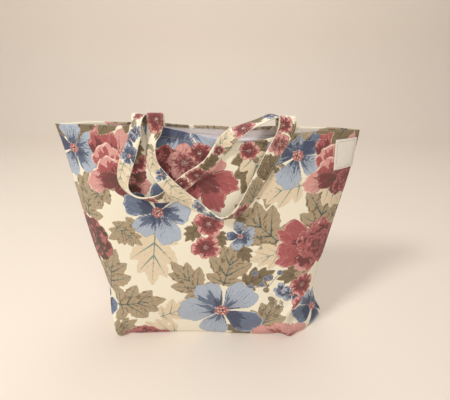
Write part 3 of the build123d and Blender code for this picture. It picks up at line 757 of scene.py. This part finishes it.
    def mallow(self, x, z, size, turn, tone):
        """A five-petalled open flower, some of its petals pale and some dark."""
        pale, half, dark = (0.34, 0.16), (0.62, 0.30), (1.30, 0.52)
        covers = (pale, pale, dark, pale, half) if tone == "sky" else (dark, half, pale, half, dark)
        for order in (0, 3, 1, 4, 2):
            reach = size * (1 + 0.09 * math.sin(order * 2.3 + x))
            angle = turn + order * 72 + 6 * math.sin(order + z)
            self.petal(x, z, reach, angle, 33, BLUE_TONES, covers[order], 0.060)
        self.centre(x, z, 0.16 * size, "rose", "maroon", "blush")

    def hibiscus(self, x, z, size, turn, tone):
        """A large open flower seen from its side: small petals behind, one pale petal and two large dark
        red ones."""
        tones = ("pink", tone, "maroon", "maroon")
        for lean, share, spread, cover in HIBISCUS_PETALS:
            self.petal(x, z, share * size, turn + lean, spread, tones, (cover, 0.36 * cover), 0.085)
        self.centre(x, z, 0.10 * size, "sky", "navy", "blush")

    def blossom(self, x, z, size, turn, tone):
        """A small five-petalled flower with pale edges."""
        cover = (0.80, 0.40) if tone == "rose" else (0.42, 0.10)
        for order in range(5):
            reach = size * (1 + 0.1 * math.sin(3 * order + z))
            self.petal(x, z, reach, turn + order * 72, 40, RED_TONES, cover, 0.05)
        self.centre(x, z, 0.20 * size, "maroon", "blush", "blush")

    def rose(self, x, z, size, turn, tone):
        """A full rose: rings of overlapping petals that shrink towards a heart off the middle, each ring
        turned by half a petal, the outer ones broad and the inner ones curled and darker."""
        tones = DARK_TONES if tone == "maroon" else RED_TONES
        growth = {"pink": 0.45, "rose": 2.0, "maroon": 0.60}[tone]
        lean = math.radians(turn + 130)
        for number, (share, count, spread, shift) in enumerate(ROSE_RINGS):
            middle_x, middle_z = x + shift * size * math.cos(lean), z + shift * size * math.sin(lean)
            hidden = ROSE_RINGS[number + 1][0] / share if number + 1 < len(ROSE_RINGS) else 0.5
            for order in range(count):
                grown = growth + 0.35 * math.sin(4 * order + number)
                cover = (hidden + grown * (1 - hidden), hidden + 0.16 * (1 - hidden))
                angle = turn + number * 180 / count + order * 360 / count + 11 * math.sin(order * 2.1 + number)
                reach = share * size * (1 + 0.06 * math.sin(5 * order + number))
                self.petal(middle_x, middle_z, reach, angle, spread, tones, cover, 0.055)
        self.centre(middle_x, middle_z, 0.09 * size, "maroon", "rose", "pink")

    def peony(self, x, z, size, turn, tone):
        """A full flower leaning over: a flat red petal behind, shorter ones stacked before it with pale
        ruffled edges, side petals, and a dark heart of small petals to one side."""
        tones, dark_tones = ("pink", tone, "maroon", "maroon"), (tone, "maroon", "line", "line")
        for lean, share, spread, cover, edging in PEONY_PETALS:
            self.petal(x, z, share * size, turn + lean, spread, tones, (cover, 0.5 * cover), 0.07, edging)
        heart_x, heart_z = x + 0.32 * size, z + 0.03 * size
        for lean, share, spread, cover in PEONY_HEART:
            self.petal(heart_x, heart_z, share * size, turn + lean, spread, tones if cover < 1 else dark_tones,
                       (cover, 0.3 * cover), 0.07)
        self.centre(heart_x, heart_z, 0.10 * size, "rose", "pink", "blush")

    def spray(self, x, z, size, turn, tone):
        """A spray of buds on thin stems: each bud is a disc, the blue ones with a dark spot, and each stem a
        short straight line."""
        for number in range(6):
            lean = math.radians(turn + (number - 2.5) * 24)
            reach = size * (0.65 + 0.35 * math.sin(number * 2.4 + 1))
            near, along, across = self.place(x, z, math.degrees(lean), 1.3 * size)
            if not len(near):
                return
            stem = np.abs(across + 0.05 * along * math.sin(number)) - 0.42
            stem = np.maximum(stem, np.maximum(-along, along - reach))
            bud = np.hypot(along - reach, across) - 0.14 * size
            spot = np.hypot(along - 1.03 * reach, across - 0.03 * size) - 0.04 * size
            inks = {"slate": bud, "navy": spot} if tone == "navy" else {"olive": bud}
            self.lay(near, np.minimum(stem, bud), line=stem, **inks)

    def run(self, motifs, repeats):
        """Lays every motif at each of its repeats, and gives the fields by their attribute names."""
        for kind, x, z, size, turn, tone in motifs:
            for across in repeats:
                for up in repeats:
                    getattr(self, kind)(x + across * REPEAT[0], z + up * REPEAT[1], size, turn, tone)
        return {"ink_" + ink: field for ink, field in self.fields.items()}


def scatter(number, seed):
    """An even scatter from 0 to 1 over whole numbers: the fraction of a large multiple of a sine."""
    return np.sin(number * 12.9898 + seed * 0.7331) * 43758.5453 % 1


def wrapped(value, length):
    """A place on the endless cloth brought into one repeat round zero."""
    return (value + length / 2) % length - length / 2


# Panels

COLUMNS, BASE_ROWS, EDGE_ROWS, WALL_ROWS = 301, 30, 8, 250
LAST_ROW = BASE_ROWS + EDGE_ROWS + WALL_ROWS
HEM_ROW, HEM_END = -9, 4  # the row of the rim's topstitches, and how many columns they stop short of the seams
SEAM_SHARE, SEAM_CROWDING = 0.9985, 0.10  # reach of the last columns towards the seams, and their crowding
LEAST_DEPTH = 0.3  # of a panel from the seam plane
PRINT_MIDDLE = 120  # the height on the cloth round which the print is brought into one repeat
BACK_PRINT = (20, -180)  # how far the print is moved on the back
# Rows of the inner face: every twelfth of the outer ones, and every second near the rim, where it is seen.
INNER_ROWS = [*range(0, LAST_ROW - 24, 12), *range(LAST_ROW - 24, LAST_ROW + 1, 2)]


def panel_grid(side, bow, sag, folds, sizes):
    """A panel's outer face. Rows run from the base seam over half the base, round its edge by a quarter
    circle, and up the wall to the rim; columns run from seam to seam, closer near the seams. The wall
    stands off the seam plane by the wall's depth plus its folds."""
    share = np.linspace(-1, 1, COLUMNS)
    share = SEAM_SHARE * share * (1 + SEAM_CROWDING * (1 - share**2))
    right = share > 0
    radius = sizes.base_radius / MM
    top = rim_height(share * HALF, sag) - RIGHT_DROOP * ramp(share, 0.35, 1.0)
    bend = np.linspace(0, np.pi / 2, EDGE_ROWS + 1)[:-1]
    z_base = np.zeros((BASE_ROWS, COLUMNS))
    z_edge = np.broadcast_to((radius * (1 - np.cos(bend)))[:, None], (EDGE_ROWS, COLUMNS))
    climb = np.linspace(0, 1, WALL_ROWS + 1)[:, None]
    z = np.concatenate((z_base, z_edge, radius + climb * (top - radius)))
    level = z / BAG_HEIGHT
    x = share * np.where(right, seam_reach(level, True), seam_reach(level, False))
    depth = np.maximum(LEAST_DEPTH, wall_depth(x, level, bow) + folds(x, z, sizes))
    round_off = np.minimum(radius, depth / 2)
    back = np.zeros_like(depth)
    back[BASE_ROWS:BASE_ROWS + EDGE_ROWS] = (1 - np.sin(bend))[:, None]
    back[:BASE_ROWS] = 1
    depth = depth - back * round_off
    fan = np.linspace(0.004, 1, BASE_ROWS + 1)[:-1, None]
    depth[:BASE_ROWS] *= fan
    ripple = 0.7 * np.sin(x / 23) + 0.5 * np.sin(x / 11 + 1)
    z = z + ramp(level, 0.9, 1.0) * ripple * ramp(HALF - np.abs(x), 0, 30)
    run = np.concatenate((BASE_DEPTH / 2 * (fan - 1) * np.ones((1, COLUMNS)), z[BASE_ROWS:]))
    length = np.cumsum(np.hypot(np.gradient(x, axis=1), np.gradient(depth, axis=1)), axis=1)
    length -= length[:, COLUMNS // 2, None]
    whole = np.abs(np.where(right, length[:, -1:], length[:, :1]))
    return stacked(x, side * depth, z), HALF * length / whole, run


def lining_of(outer, side):
    """The inner face: the outer one moved in by the cloth's thickness, kept on its own side of the seam
    plane."""
    inner = outer[INNER_ROWS].copy()
    slope = np.gradient(inner[..., 1] * side, axis=1) / np.maximum(np.gradient(inner[..., 0], axis=1), 0.02)
    length = np.hypot(1, slope)
    inner[..., 0] += CLOTH * np.clip(slope, -6, 6) / length
    reach = np.abs(inner[..., 0])
    inner[..., 0] = np.sign(inner[..., 0]) * np.minimum(reach, np.abs(outer[INNER_ROWS][:, :1, 0]) - 0.2)
    inner[..., 1] = side * np.maximum(0.1, inner[..., 1] * side - CLOTH / length)
    inner[..., 2] = np.maximum(inner[..., 2], CLOTH)
    return inner


def panel_piece(name, node, side, bow, sag, folds, offset, sizes, finish):
    """A closed sheet: the printed outer face, a soft crest along the rim, and a coarser inner face joined
    to it all round."""
    outer, print_x, print_z = panel_grid(side, bow, sag, folds, sizes)
    inner = lining_of(outer, side)
    crest = (outer[-1] + inner[-1]) / 2 + (0, 0, 0.5)
    rows, inner_rows = len(outer), len(inner)
    start = rows * COLUMNS
    crest_start = start + inner_rows * COLUMNS
    points = np.concatenate((outer.reshape(-1, 3), inner.reshape(-1, 3), crest))
    faces = grid_quads(rows, COLUMNS).tolist() + grid_quads(inner_rows, COLUMNS, start)[:, ::-1].tolist()
    column = np.arange(COLUMNS - 1)
    for low, high in ((start - COLUMNS, crest_start), (crest_start, crest_start - COLUMNS), (start, 0)):
        faces += stacked(low + column, low + column + 1, high + column + 1, high + column).tolist()
    for edge in (0, COLUMNS - 1):
        for number, (low, high) in enumerate(zip(INNER_ROWS, INNER_ROWS[1:])):
            strip = [row * COLUMNS + edge for row in range(low, high + 1)]
            if number == inner_rows - 2:
                strip.append(crest_start + edge)
            faces.append(strip + [start + (number + 1) * COLUMNS + edge, start + number * COLUMNS + edge])
    printed_x, printed_z = (
        np.concatenate((field.ravel(), field[INNER_ROWS].ravel(), field[-1])) for field in (print_x, print_z)
    )
    repeat_x = wrapped(printed_x * (1 if side < 0 else -1) + offset[0], REPEAT[0])
    repeat_z = wrapped(printed_z + offset[1] - PRINT_MIDDLE, REPEAT[1]) + PRINT_MIDDLE
    fields = Printing(repeat_x, repeat_z).run(MOTIFS, (-1, 0, 1))
    hem = ramp(print_z[-1] - print_z[INNER_ROWS], 2.5, 4.5)
    fields["reverse"] = np.concatenate((np.zeros(start), hem.ravel(), np.zeros(COLUMNS)))
    piece = make_piece(name, points, faces, finish, stacked(printed_x, printed_z), fields)
    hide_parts(node)
    return outer


class BAG_OT_panels(bpy.types.Operator):
    """Make the printed front and back panels and the topstitching along their rims"""

    bl_idname = "bag.panels"
    bl_label = "Panels"

    def execute(self, context):
        sizes, colours = context.scene.bag_sizes, context.scene.bag_colours
        finish = printed_cotton("printed_cotton", sizes, colours)
        thread = sewing_thread("hem_thread", colours.thread)
        for name, node, side, bow, sag, folds, offset in (
            ("front_cloth", "front_panel", -1, FRONT_BOW, FRONT_SAG, front_folds, (0, 0)),
            ("back_cloth", "back_panel", 1, BACK_BOW, BACK_SAG, back_folds, BACK_PRINT),
        ):
            outer = panel_piece(name, node, side, bow, sag, folds, offset, sizes, finish)
            length = sizes.stitch_length / MM
            _, _, places, along = seam_places(outer[HEM_ROW, HEM_END:-HEM_END], length + STITCH_GAP)
            out = unit(np.cross(along, unit(outer[-1, COLUMNS // 2] - outer[-20, COLUMNS // 2])))
            out = out * np.sign(out[:, 1:2]) * side
            hem = name.replace("cloth", "hem_stitches")
            piece = stitches(hem, places + 0.05 * out, along, out, length, thread)
        return {"FINISHED"}


# Handles


def compass(turn, tilt):
    """The direction of a strap's width: its turn in plan from +X, and its tilt upward, in degrees."""
    turn, tilt = math.radians(turn), math.radians(tilt)
    return np.array((math.cos(turn) * math.cos(tilt), math.sin(turn) * math.cos(tilt), math.sin(tilt)))


class Route:
    """A handle's stations: its middle points, and the direction of its width or the lean of a resting
    stretch."""

    def __init__(self, sizes):
        self.sizes = sizes
        self.width, self.thick = sizes.strap_width / MM, sizes.strap_thickness / MM
        self.places, self.widths = [], []

    def room(self, x, z, bow):
        """The least wall depth across the strap's width."""
        edges = (x - self.width / 2, x + self.width / 2)
        return min(float(wall_depth(edge, z / BAG_HEIGHT, bow)) for edge in edges)

    def tail(self, side, x, bow, sag, width, drops):
        """A sewn end inside a rim, hanging straight down by the given drops."""
        rim = float(rim_height(x, sag))
        for drop in drops:
            z = rim - drop
            y = side * (self.room(x, z, bow) - CLOTH - SEWN_GAP - self.thick / 2)
            self.add((x, y, z), width)

    def over_rim(self, x, width, angles, arch):
        """A round arch from the inside of the front rim to its outside."""
        rim = float(rim_height(x, FRONT_SAG))
        inner = -(self.room(x, rim, FRONT_BOW) - CLOTH - SEWN_GAP - self.thick / 2)
        outer = -(float(wall_depth(x, rim / BAG_HEIGHT, FRONT_BOW)) + SEWN_GAP + 2 * self.thick)
        for angle in np.radians(angles):
            y = (inner + outer) / 2 + (inner - outer) / 2 * math.cos(angle)
            self.add((x, y, rim + arch * math.sin(angle) - self.thick / 2), width)

    def resting(self, shares):
        """A stretch that lies on the front, clear of its swells by the rest gap."""
        for x_share, z_share, lift, lean in shares:
            x, z, lean = x_share * HALF, z_share * BAG_HEIGHT, math.radians(lean)
            stand = math.sin(lean) * self.width / 2 + math.cos(lean) * self.thick / 2 + REST_GAP
            swell = float(max(0.0, front_folds(np.array(x), np.array(z), self.sizes)))
            depth = float(wall_depth(x, z_share, FRONT_BOW)) + swell
            self.add((x, -depth - stand - lift * self.width, z), lean)

    def crossing(self, shares):
        """A stretch in the air over the mouth."""
        for x_share, y_share, rise, turn, tilt in shares:
            self.add((x_share * HALF, y_share * MOUTH_GAP, BAG_HEIGHT + rise * STRAP_ARCH), compass(turn, tilt))

    def add(self, place, width):
        """One more station."""
        self.places.append(place)
        self.widths.append(width)

    def smooth(self, step):
        """Points, widths and faces a step apart on the smooth curve through the stations, square to the
        route."""
        places = np.array(self.places, float)
        along = unit(np.gradient(places, axis=0))
        widths = []
        for number, width in enumerate(self.widths):
            if np.ndim(width) == 0:
                outward = np.array((0.0, -1.0, 0.0))
                level = np.cross(outward, along[number])
                width = level / np.linalg.norm(level) * math.cos(width) + outward * math.sin(width)
            widths.append(width)
        run = run_of(places)
        at = np.arange(0, run[-1], step)
        path, wide = (read_along(at, run, line, along_table) for line in (places, np.array(widths)))
        along = unit(np.gradient(path, axis=0))
        wide = unit(wide - along * np.sum(wide * along, axis=1, keepdims=True))
        return at, path, along, wide, np.cross(along, wide)


def strap_profile(width, thick, count=22):
    """A folded strap's section: flat faces a little thicker near the edges, and round edges; one closed
    loop."""
    across = np.concatenate((np.linspace(-1, 1, count), np.linspace(1, -1, count)))
    across = np.sign(across) * np.abs(across) ** 0.9
    face = np.repeat((1.0, -1.0), count)
    swell = 1 - np.abs(across) ** 14 * 0.75 - 0.16 * np.exp(-((across / 0.72) ** 4))
    swell += 0.05 * np.sin(across * 40)
    return stacked(across * width / 2, face * swell * thick / 2)


STRAP_HIGHLIGHT_BORDER, STRAP_SEAM = 0.2, 2.2  # from a strap's edge to its print, the unprinted strip there being a painted highlight along the fold, and to its topstitches


def strap_piece(name, node, route, motifs, sizes, finish, thread):
    """A printed strap along its route, with a row of stitches near each edge. Its folded edges stay unprinted,
    and the bare pale ground there is a painted highlight along each fold.
    """
    at, path, along, wide, face = route.smooth(1.0)
    width, thick = route.width, route.thick
    profile = strap_profile(width, thick)
    points = carried(path, wide, face, profile)
    across = np.broadcast_to(profile[:, 0], points.shape[:2])
    run = np.broadcast_to(at[:, None], points.shape[:2])
    fields = Printing(across, run).run(motifs, (0,))
    # The folded edges are left unprinted, so the pale ground paints a highlight along each fold.
    border = np.ravel(width / 2 - STRAP_HIGHLIGHT_BORDER - np.abs(across))
    fields = {ink: np.maximum(values, -2 * border) for ink, values in fields.items()}
    fields["reverse"] = np.zeros(points.shape[:2])
    faces = tube_faces(len(path), len(profile))
    piece = make_piece(name, points, faces, finish, stacked(across, run), fields)
    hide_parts(node)
    at[-1] * MM
    sewn, length = [], sizes.stitch_length / MM
    for edge in (-1, 1):
        for side in (-1, 1):
            line = path + edge * (width / 2 - STRAP_SEAM) * wide + side * thick * 0.5 * face
            marks, run, places, ahead = seam_places(line, length + STITCH_GAP)
            sewn.append((places, ahead, unit(side * read_along(marks, run, face))))
    places, ahead, out = (np.concatenate(part) for part in zip(*sewn))
    piece = stitches(name + "_stitches", places, ahead, out, length, thread)


class BAG_OT_handles(bpy.types.Operator):
    """Make the two cotton handles, draped over the front as they lie"""

    bl_idname = "bag.handles"
    bl_label = "Handles"

    def execute(self, context):
        sizes, colours = context.scene.bag_sizes, context.scene.bag_colours
        finish = printed_cotton("strap_cotton", sizes, colours)
        thread = sewing_thread("strap_thread", colours.thread)
        drops, turns = (STRAP_TAIL, 0.0), (30, 65, 90, 115, 150)
        rightward, leftward = compass(0, 0), compass(180, 0)
        front = Route(sizes)
        left, right = (share * HALF for share in FRONT_END_SHARES)
        front.tail(-1, left, FRONT_BOW, FRONT_SAG, rightward, drops)
        front.over_rim(left, rightward, turns, STRAP_ARCH)
        front.resting(FRONT_REST_SHARES)
        front.over_rim(right, leftward, turns[::-1], RIGHT_ARCH)
        front.tail(-1, right, FRONT_BOW, FRONT_SAG, leftward, drops[::-1])
        back = Route(sizes)
        left, right = (share * HALF for share in BACK_END_SHARES)
        back.tail(1, left, BACK_BOW, BACK_SAG, rightward, drops)
        back.crossing(BACK_LEFT_SHARES)
        back.resting(BACK_REST_SHARES)
        back.crossing(BACK_RIGHT_SHARES)
        back.tail(1, right, BACK_BOW, BACK_SAG, leftward, drops[::-1])
        strap_piece("front_strap", "front_handle", front, FRONT_STRAP_MOTIFS, sizes, finish, thread)
        strap_piece("back_strap", "back_handle", back, BACK_STRAP_MOTIFS, sizes, finish, thread)
        return {"FINISHED"}


# Zip

POST_ROOM = 0.75  # from the zip's middle line to a coil, past half the slider's post


def tape_piece(name, node, side, bow, sag, finish):
    """A woven tape: an L-shaped section, flat beside the coil and turned up along the rim, carried along
    the zip."""
    x = np.linspace(-ZIP_LENGTH / 2, ZIP_LENGTH / 2, 160)
    top = np.maximum(ZIP_Z + TAPE + TAPE_LEG_MIN, rim_height(x, sag) - TAPE_TOP_GAP)
    foot = wall_depth(x, ZIP_Z / BAG_HEIGHT, bow) - CLOTH - SEWN_GAP
    head = wall_depth(x, top / BAG_HEIGHT, bow) - CLOTH - SEWN_GAP
    slot = np.full_like(x, TAPE_SLOT / 2)
    floor, roof = np.full_like(x, ZIP_Z), np.full_like(x, ZIP_Z + TAPE)
    flat = np.linspace(0, 1, 8)[:, None]
    leg = np.linspace(0, 1, 5)[1:, None]
    wave = 0.12 * np.sin(x / 5.5) + 0.2 * np.sin(x / 19 + side)
    under = [slot + flat * (foot - slot), floor + wave * np.sin(np.pi * flat)]
    outside = [foot + leg * (head - foot), floor + leg * (top - floor)]
    inside = [(foot + leg * (head - foot) - TAPE)[::-1], (roof + leg * (top - roof))[::-1]]
    over = [(slot + flat * (foot - TAPE - slot))[::-1], (roof + wave * np.sin(np.pi * flat))[::-1]]
    y, z = (np.concatenate([part[axis] for part in (under, outside, inside, over)]) for axis in (0, 1))
    points = stacked(x, side * y, z).transpose(1, 0, 2)
    loop = np.concatenate(([0.0], np.cumsum(np.hypot(np.diff(y[:, 0]), np.diff(z[:, 0])))))
    flat_map = stacked(x[:, None], loop[None])
    piece = make_piece(name, points, tube_faces(*points.shape[:2]), finish, flat_map)
    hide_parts(node)
    width = float(np.mean(foot - slot + np.hypot(head - foot, top - floor)))


def coil_piece(name, node, side, sizes, finish):
    """A nylon coil: a round wire carried along a flattened helix. Its loops stop short of the zip's middle
    line, so that the slider's post has room to pass."""
    low, high = (np.array(corner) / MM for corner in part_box(node))
    low[1], high[1] = (low[1], -POST_ROOM) if side < 0 else (POST_ROOM, high[1])
    wire = sizes.coil_wire / MM / 2
    pitch, turn_steps = 2.0, 14
    start, end = low[0] + (pitch if side < 0 else pitch * 1.5), high[0] - pitch
    turns = int((end - start) / pitch)
    angle = np.linspace(0, 2 * np.pi * turns, turns * turn_steps + 1)
    middle, half = (low[1] + high[1]) / 2, (high[1] - low[1]) / 2 - wire
    rise = (high[2] - low[2]) / 2 - wire
    path = stacked(start + pitch * angle / (2 * np.pi), middle - side * half * np.cos(angle),
                   (low[2] + high[2]) / 2 + rise * np.sin(angle))
    along = unit(np.gradient(path, axis=0))
    wide = unit(np.cross(along, (1.0, 0.0, 0.0)))
    ring = np.linspace(0, 2 * np.pi, 7)[:-1]
    points = carried(path, wide, np.cross(along, wide), wire * stacked(np.cos(ring), np.sin(ring)))
    piece = make_piece(name, points, tube_faces(len(path), len(ring)), finish, points[..., :2])
    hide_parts(node)


class BAG_OT_zip(bpy.types.Operator):
    """Make the zip's tapes and coils, and plate its slider, pull and stops"""

    bl_idname = "bag.zip"
    bl_label = "Zip"

    def execute(self, context):
        sizes, colours = context.scene.bag_sizes, context.scene.bag_colours
        tape = plain_yarn("zip_tape", colours.zip_tape, 0.8 * MM, 0.5, 0.72)
        nylon = plain_yarn("zip_coil", colours.zip_coil, 0.3 * MM, 0.1, 0.38)
        metal = plated_metal("slider_metal", colours.metal)
        for word, side, bow, sag in (("front", -1, FRONT_BOW, FRONT_SAG), ("back", 1, BACK_BOW, BACK_SAG)):
            tape_piece(word + "_tape", word + "_zip_tape", side, bow, sag, tape)
            coil_piece(word + "_coil", word + "_zip_teeth", side, sizes, nylon)
        for node in ("zip_slider", "pull_tab", "top_stops", "bottom_stop"):
            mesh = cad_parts[node].data
            mesh.materials.clear()
            mesh.materials.append(metal)
        return {"FINISHED"}


# Label

LABEL_WIDTH, LABEL_HEIGHT, LABEL_THICKNESS = 25.0, 34.0, 0.6
LABEL_TURN = 4.0  # degrees
LABEL_PLACE = 0.54  # from the bag's side to the label's middle, in label widths
LABEL_DROP = 4.0  # below the straps' sewn ends
LABEL_SEAM = 2.4  # from the label's edge to its topstitches


def label_grid(sizes, stand, inset, rows=35, columns=27):
    """Points of the label's patch, a set distance off the front panel, and their places on the patch."""
    across = np.linspace(-1, 1, columns)[None, :] * (LABEL_WIDTH / 2 - inset)
    up = np.linspace(-1, 1, rows)[:, None] * (LABEL_HEIGHT / 2 - inset)
    turn = math.radians(LABEL_TURN)
    x = HALF - LABEL_WIDTH * LABEL_PLACE + across * math.cos(turn) - up * math.sin(turn)
    z = BAG_HEIGHT - STRAP_TAIL - LABEL_HEIGHT / 2 - LABEL_DROP + across * math.sin(turn) + up * math.cos(turn)
    depth = wall_depth(x, z / BAG_HEIGHT, FRONT_BOW) + np.maximum(0, front_folds(x, z, sizes)) + stand
    return stacked(x, -depth, z), stacked(across, up)


class BAG_OT_label(bpy.types.Operator):
    """Make the blank woven label and its stitching"""

    bl_idname = "bag.label"
    bl_label = "Label"

    def execute(self, context):
        sizes, colours = context.scene.bag_sizes, context.scene.bag_colours
        finish = plain_yarn("label_cotton", colours.label, 0.5 * MM, 0.5, 0.8)
        thread = sewing_thread("label_thread", colours.brown)
        stand, length = SEWN_GAP + LABEL_THICKNESS, sizes.stitch_length / MM
        under, places = label_grid(sizes, SEWN_GAP, 0.0)
        over, _ = label_grid(sizes, stand, 0.0)
        edge = np.minimum(LABEL_WIDTH / 2 - np.abs(places[..., 0]), LABEL_HEIGHT / 2 - np.abs(places[..., 1]))
        over[..., 1] += 0.30 * (1 - ramp(edge, 0, 1.2)) + 0.12 * bump(edge, LABEL_SEAM, 0.7)
        rows, columns = over.shape[:2]
        count = rows * columns
        number = np.arange(count).reshape(rows, columns)
        border = np.concatenate((number[0, :-1], number[:-1, -1], number[-1, :0:-1], number[:0:-1, 0]))
        after = np.roll(border, -1)
        walls = stacked(border, after, after + count, border + count)
        faces = np.concatenate((grid_quads(rows, columns), grid_quads(rows, columns, count)[:, ::-1], walls))
        points = np.concatenate((over.reshape(-1, 3), under.reshape(-1, 3)))
        piece = make_piece("blank_label", points, faces, finish, np.tile(places.reshape(-1, 2), (2, 1)))
        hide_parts("label")
        sewn, _ = label_grid(sizes, stand, LABEL_SEAM)
        line = np.concatenate((sewn[0, :-1], sewn[:-1, -1], sewn[-1, :0:-1], sewn[::-1, 0]))
        _, _, places, along = seam_places(line, length + LABEL_STITCH_GAP)
        out = np.broadcast_to((0.0, -1.0, 0.0), along.shape)
        piece = stitches("label_stitches", places, along, out, length, thread)
        return {"FINISHED"}


# Studio


class BAG_OT_stage(bpy.types.Operator):
    """Make the floor that curves up into a backdrop, the soft lights and the camera"""

    bl_idname = "bag.stage"
    bl_label = "Studio"

    def execute(self, context):
        colours = context.scene.bag_colours
        self.backdrop(colours)
        self.light("key", (-0.85, -0.62, 1.30), (0.0, 0.0, 0.15), 0.30, 13.5, (1.0, 0.97, 0.93))
        self.light("fill", (0.6, -1.5, 0.9), (0.0, 0.0, 0.12), 1.3, 5.0, (1.0, 0.96, 0.92))
        self.light("rear", (0.25, 0.45, 1.6), (0.0, 0.0, 0.2), 1.0, 6.0, (1.0, 0.98, 0.96))
        world = bpy.data.worlds.new("studio")
        world.use_nodes = True
        background = world.node_tree.nodes["Background"]
        background.inputs["Color"].default_value = (1.0, 0.96, 0.92, 1.0)
        background.inputs["Strength"].default_value = 0.45
        context.scene.world = world
        context.scene.view_settings.view_transform = "Standard"
        self.camera(context)
        return {"FINISHED"}

    def backdrop(self, colours):
        """A floor that bends up into a wall: a straight run, a quarter circle and a straight rise, drawn
        across x."""
        bend = np.linspace(0, np.pi / 2, 24)
        front, reach, radius, height, side = -2200.0, 900.0, 400.0, 1600.0, 2600.0
        y = np.concatenate(([front], reach + radius * np.sin(bend), [reach + radius]))
        z = np.concatenate(([0.0], radius * (1 - np.cos(bend)), [height]))
        x = np.array((-side, side))
        points = stacked(x[None, :], y[:, None], z[:, None]) * MM

        def colour(root):
            shade = object_place(root).noise(2.2, 2.0)
            return (shade * 0.5).mix(opaque(colours.floor), opaque(colours.floor, 0.94))

        finish = material("studio_floor", {}, colour, lambda root: 0.75)
        mesh = bpy.data.meshes.new("backdrop")
        mesh.from_pydata(points.reshape(-1, 3).tolist(), [], grid_quads(len(y), 2).tolist())
        mesh.polygons.foreach_set("use_smooth", np.ones(len(mesh.polygons), dtype=bool))
        mesh.materials.append(finish)
        floor = bpy.data.objects.new("backdrop", mesh)
        bpy.context.scene.collection.objects.link(floor)

    def light(self, name, place, target, size, power, colour):
        """A round soft lamp aimed at a point."""
        lamp = bpy.data.lights.new(name, "AREA")
        lamp.shape, lamp.size, lamp.energy, lamp.color = "DISK", size, power, colour
        holder = bpy.data.objects.new(name, lamp)
        holder.location = place
        aim = Vector(target) - Vector(place)
        holder.rotation_euler = aim.to_track_quat("-Z", "Y").to_euler()
        bpy.context.scene.collection.objects.link(holder)

    def camera(self, context):
        """The photograph's viewpoint: in front, a little above the rim, looking down 28 degrees through a
        wide lens."""
        picture_width, focal_pixels, pitch, roll = 450, 300.0, 28.0, -0.5
        lens = bpy.data.cameras.new("photo_view")
        lens.sensor_fit, lens.sensor_width = "HORIZONTAL", 36.0
        lens.lens = lens.sensor_width * focal_pixels / picture_width
        lens.clip_start = 0.01
        holder = bpy.data.objects.new("photo_view", lens)
        holder.location = (0.0175, -0.324, 0.3678)
        holder.rotation_euler = (math.radians(90 - pitch), math.radians(roll), 0.0)
        context.scene.collection.objects.link(holder)
        context.scene.camera = holder


class BAG_PT_pieces(bpy.types.Panel):
    """Lists the bag's pieces, sizes and colours"""

    bl_idname = "BAG_PT_pieces"
    bl_label = "Cosmetic Bag"
    bl_space_type = "VIEW_3D"
    bl_region_type = "UI"
    bl_category = "Bag"

    def draw(self, context):
        """One button for each piece, then the sizes and the colours."""
        for operator in OPERATORS:
            self.layout.operator(operator.bl_idname)
        for group in (context.scene.bag_sizes, context.scene.bag_colours):
            for name in group.__annotations__:
                self.layout.prop(group, name)


OPERATORS = (BAG_OT_panels, BAG_OT_handles, BAG_OT_zip, BAG_OT_label, BAG_OT_stage)
CLASSES = (BagSizes, BagColours, *OPERATORS, BAG_PT_pieces)


def register():
    """Adds the classes and the scene's two property groups."""
    for item in CLASSES:
        bpy.utils.register_class(item)
    bpy.types.Scene.bag_sizes = PointerProperty(type=BagSizes)
    bpy.types.Scene.bag_colours = PointerProperty(type=BagColours)


def unregister():
    """Takes away what register added."""
    del bpy.types.Scene.bag_colours
    del bpy.types.Scene.bag_sizes
    for item in reversed(CLASSES):
        bpy.utils.unregister_class(item)


def main():
    """Makes every piece in order."""
    register()
    bpy.ops.bag.panels()
    bpy.ops.bag.handles()
    bpy.ops.bag.zip()
    bpy.ops.bag.label()
    bpy.ops.bag.stage()


if __name__ == "__main__":
    main()
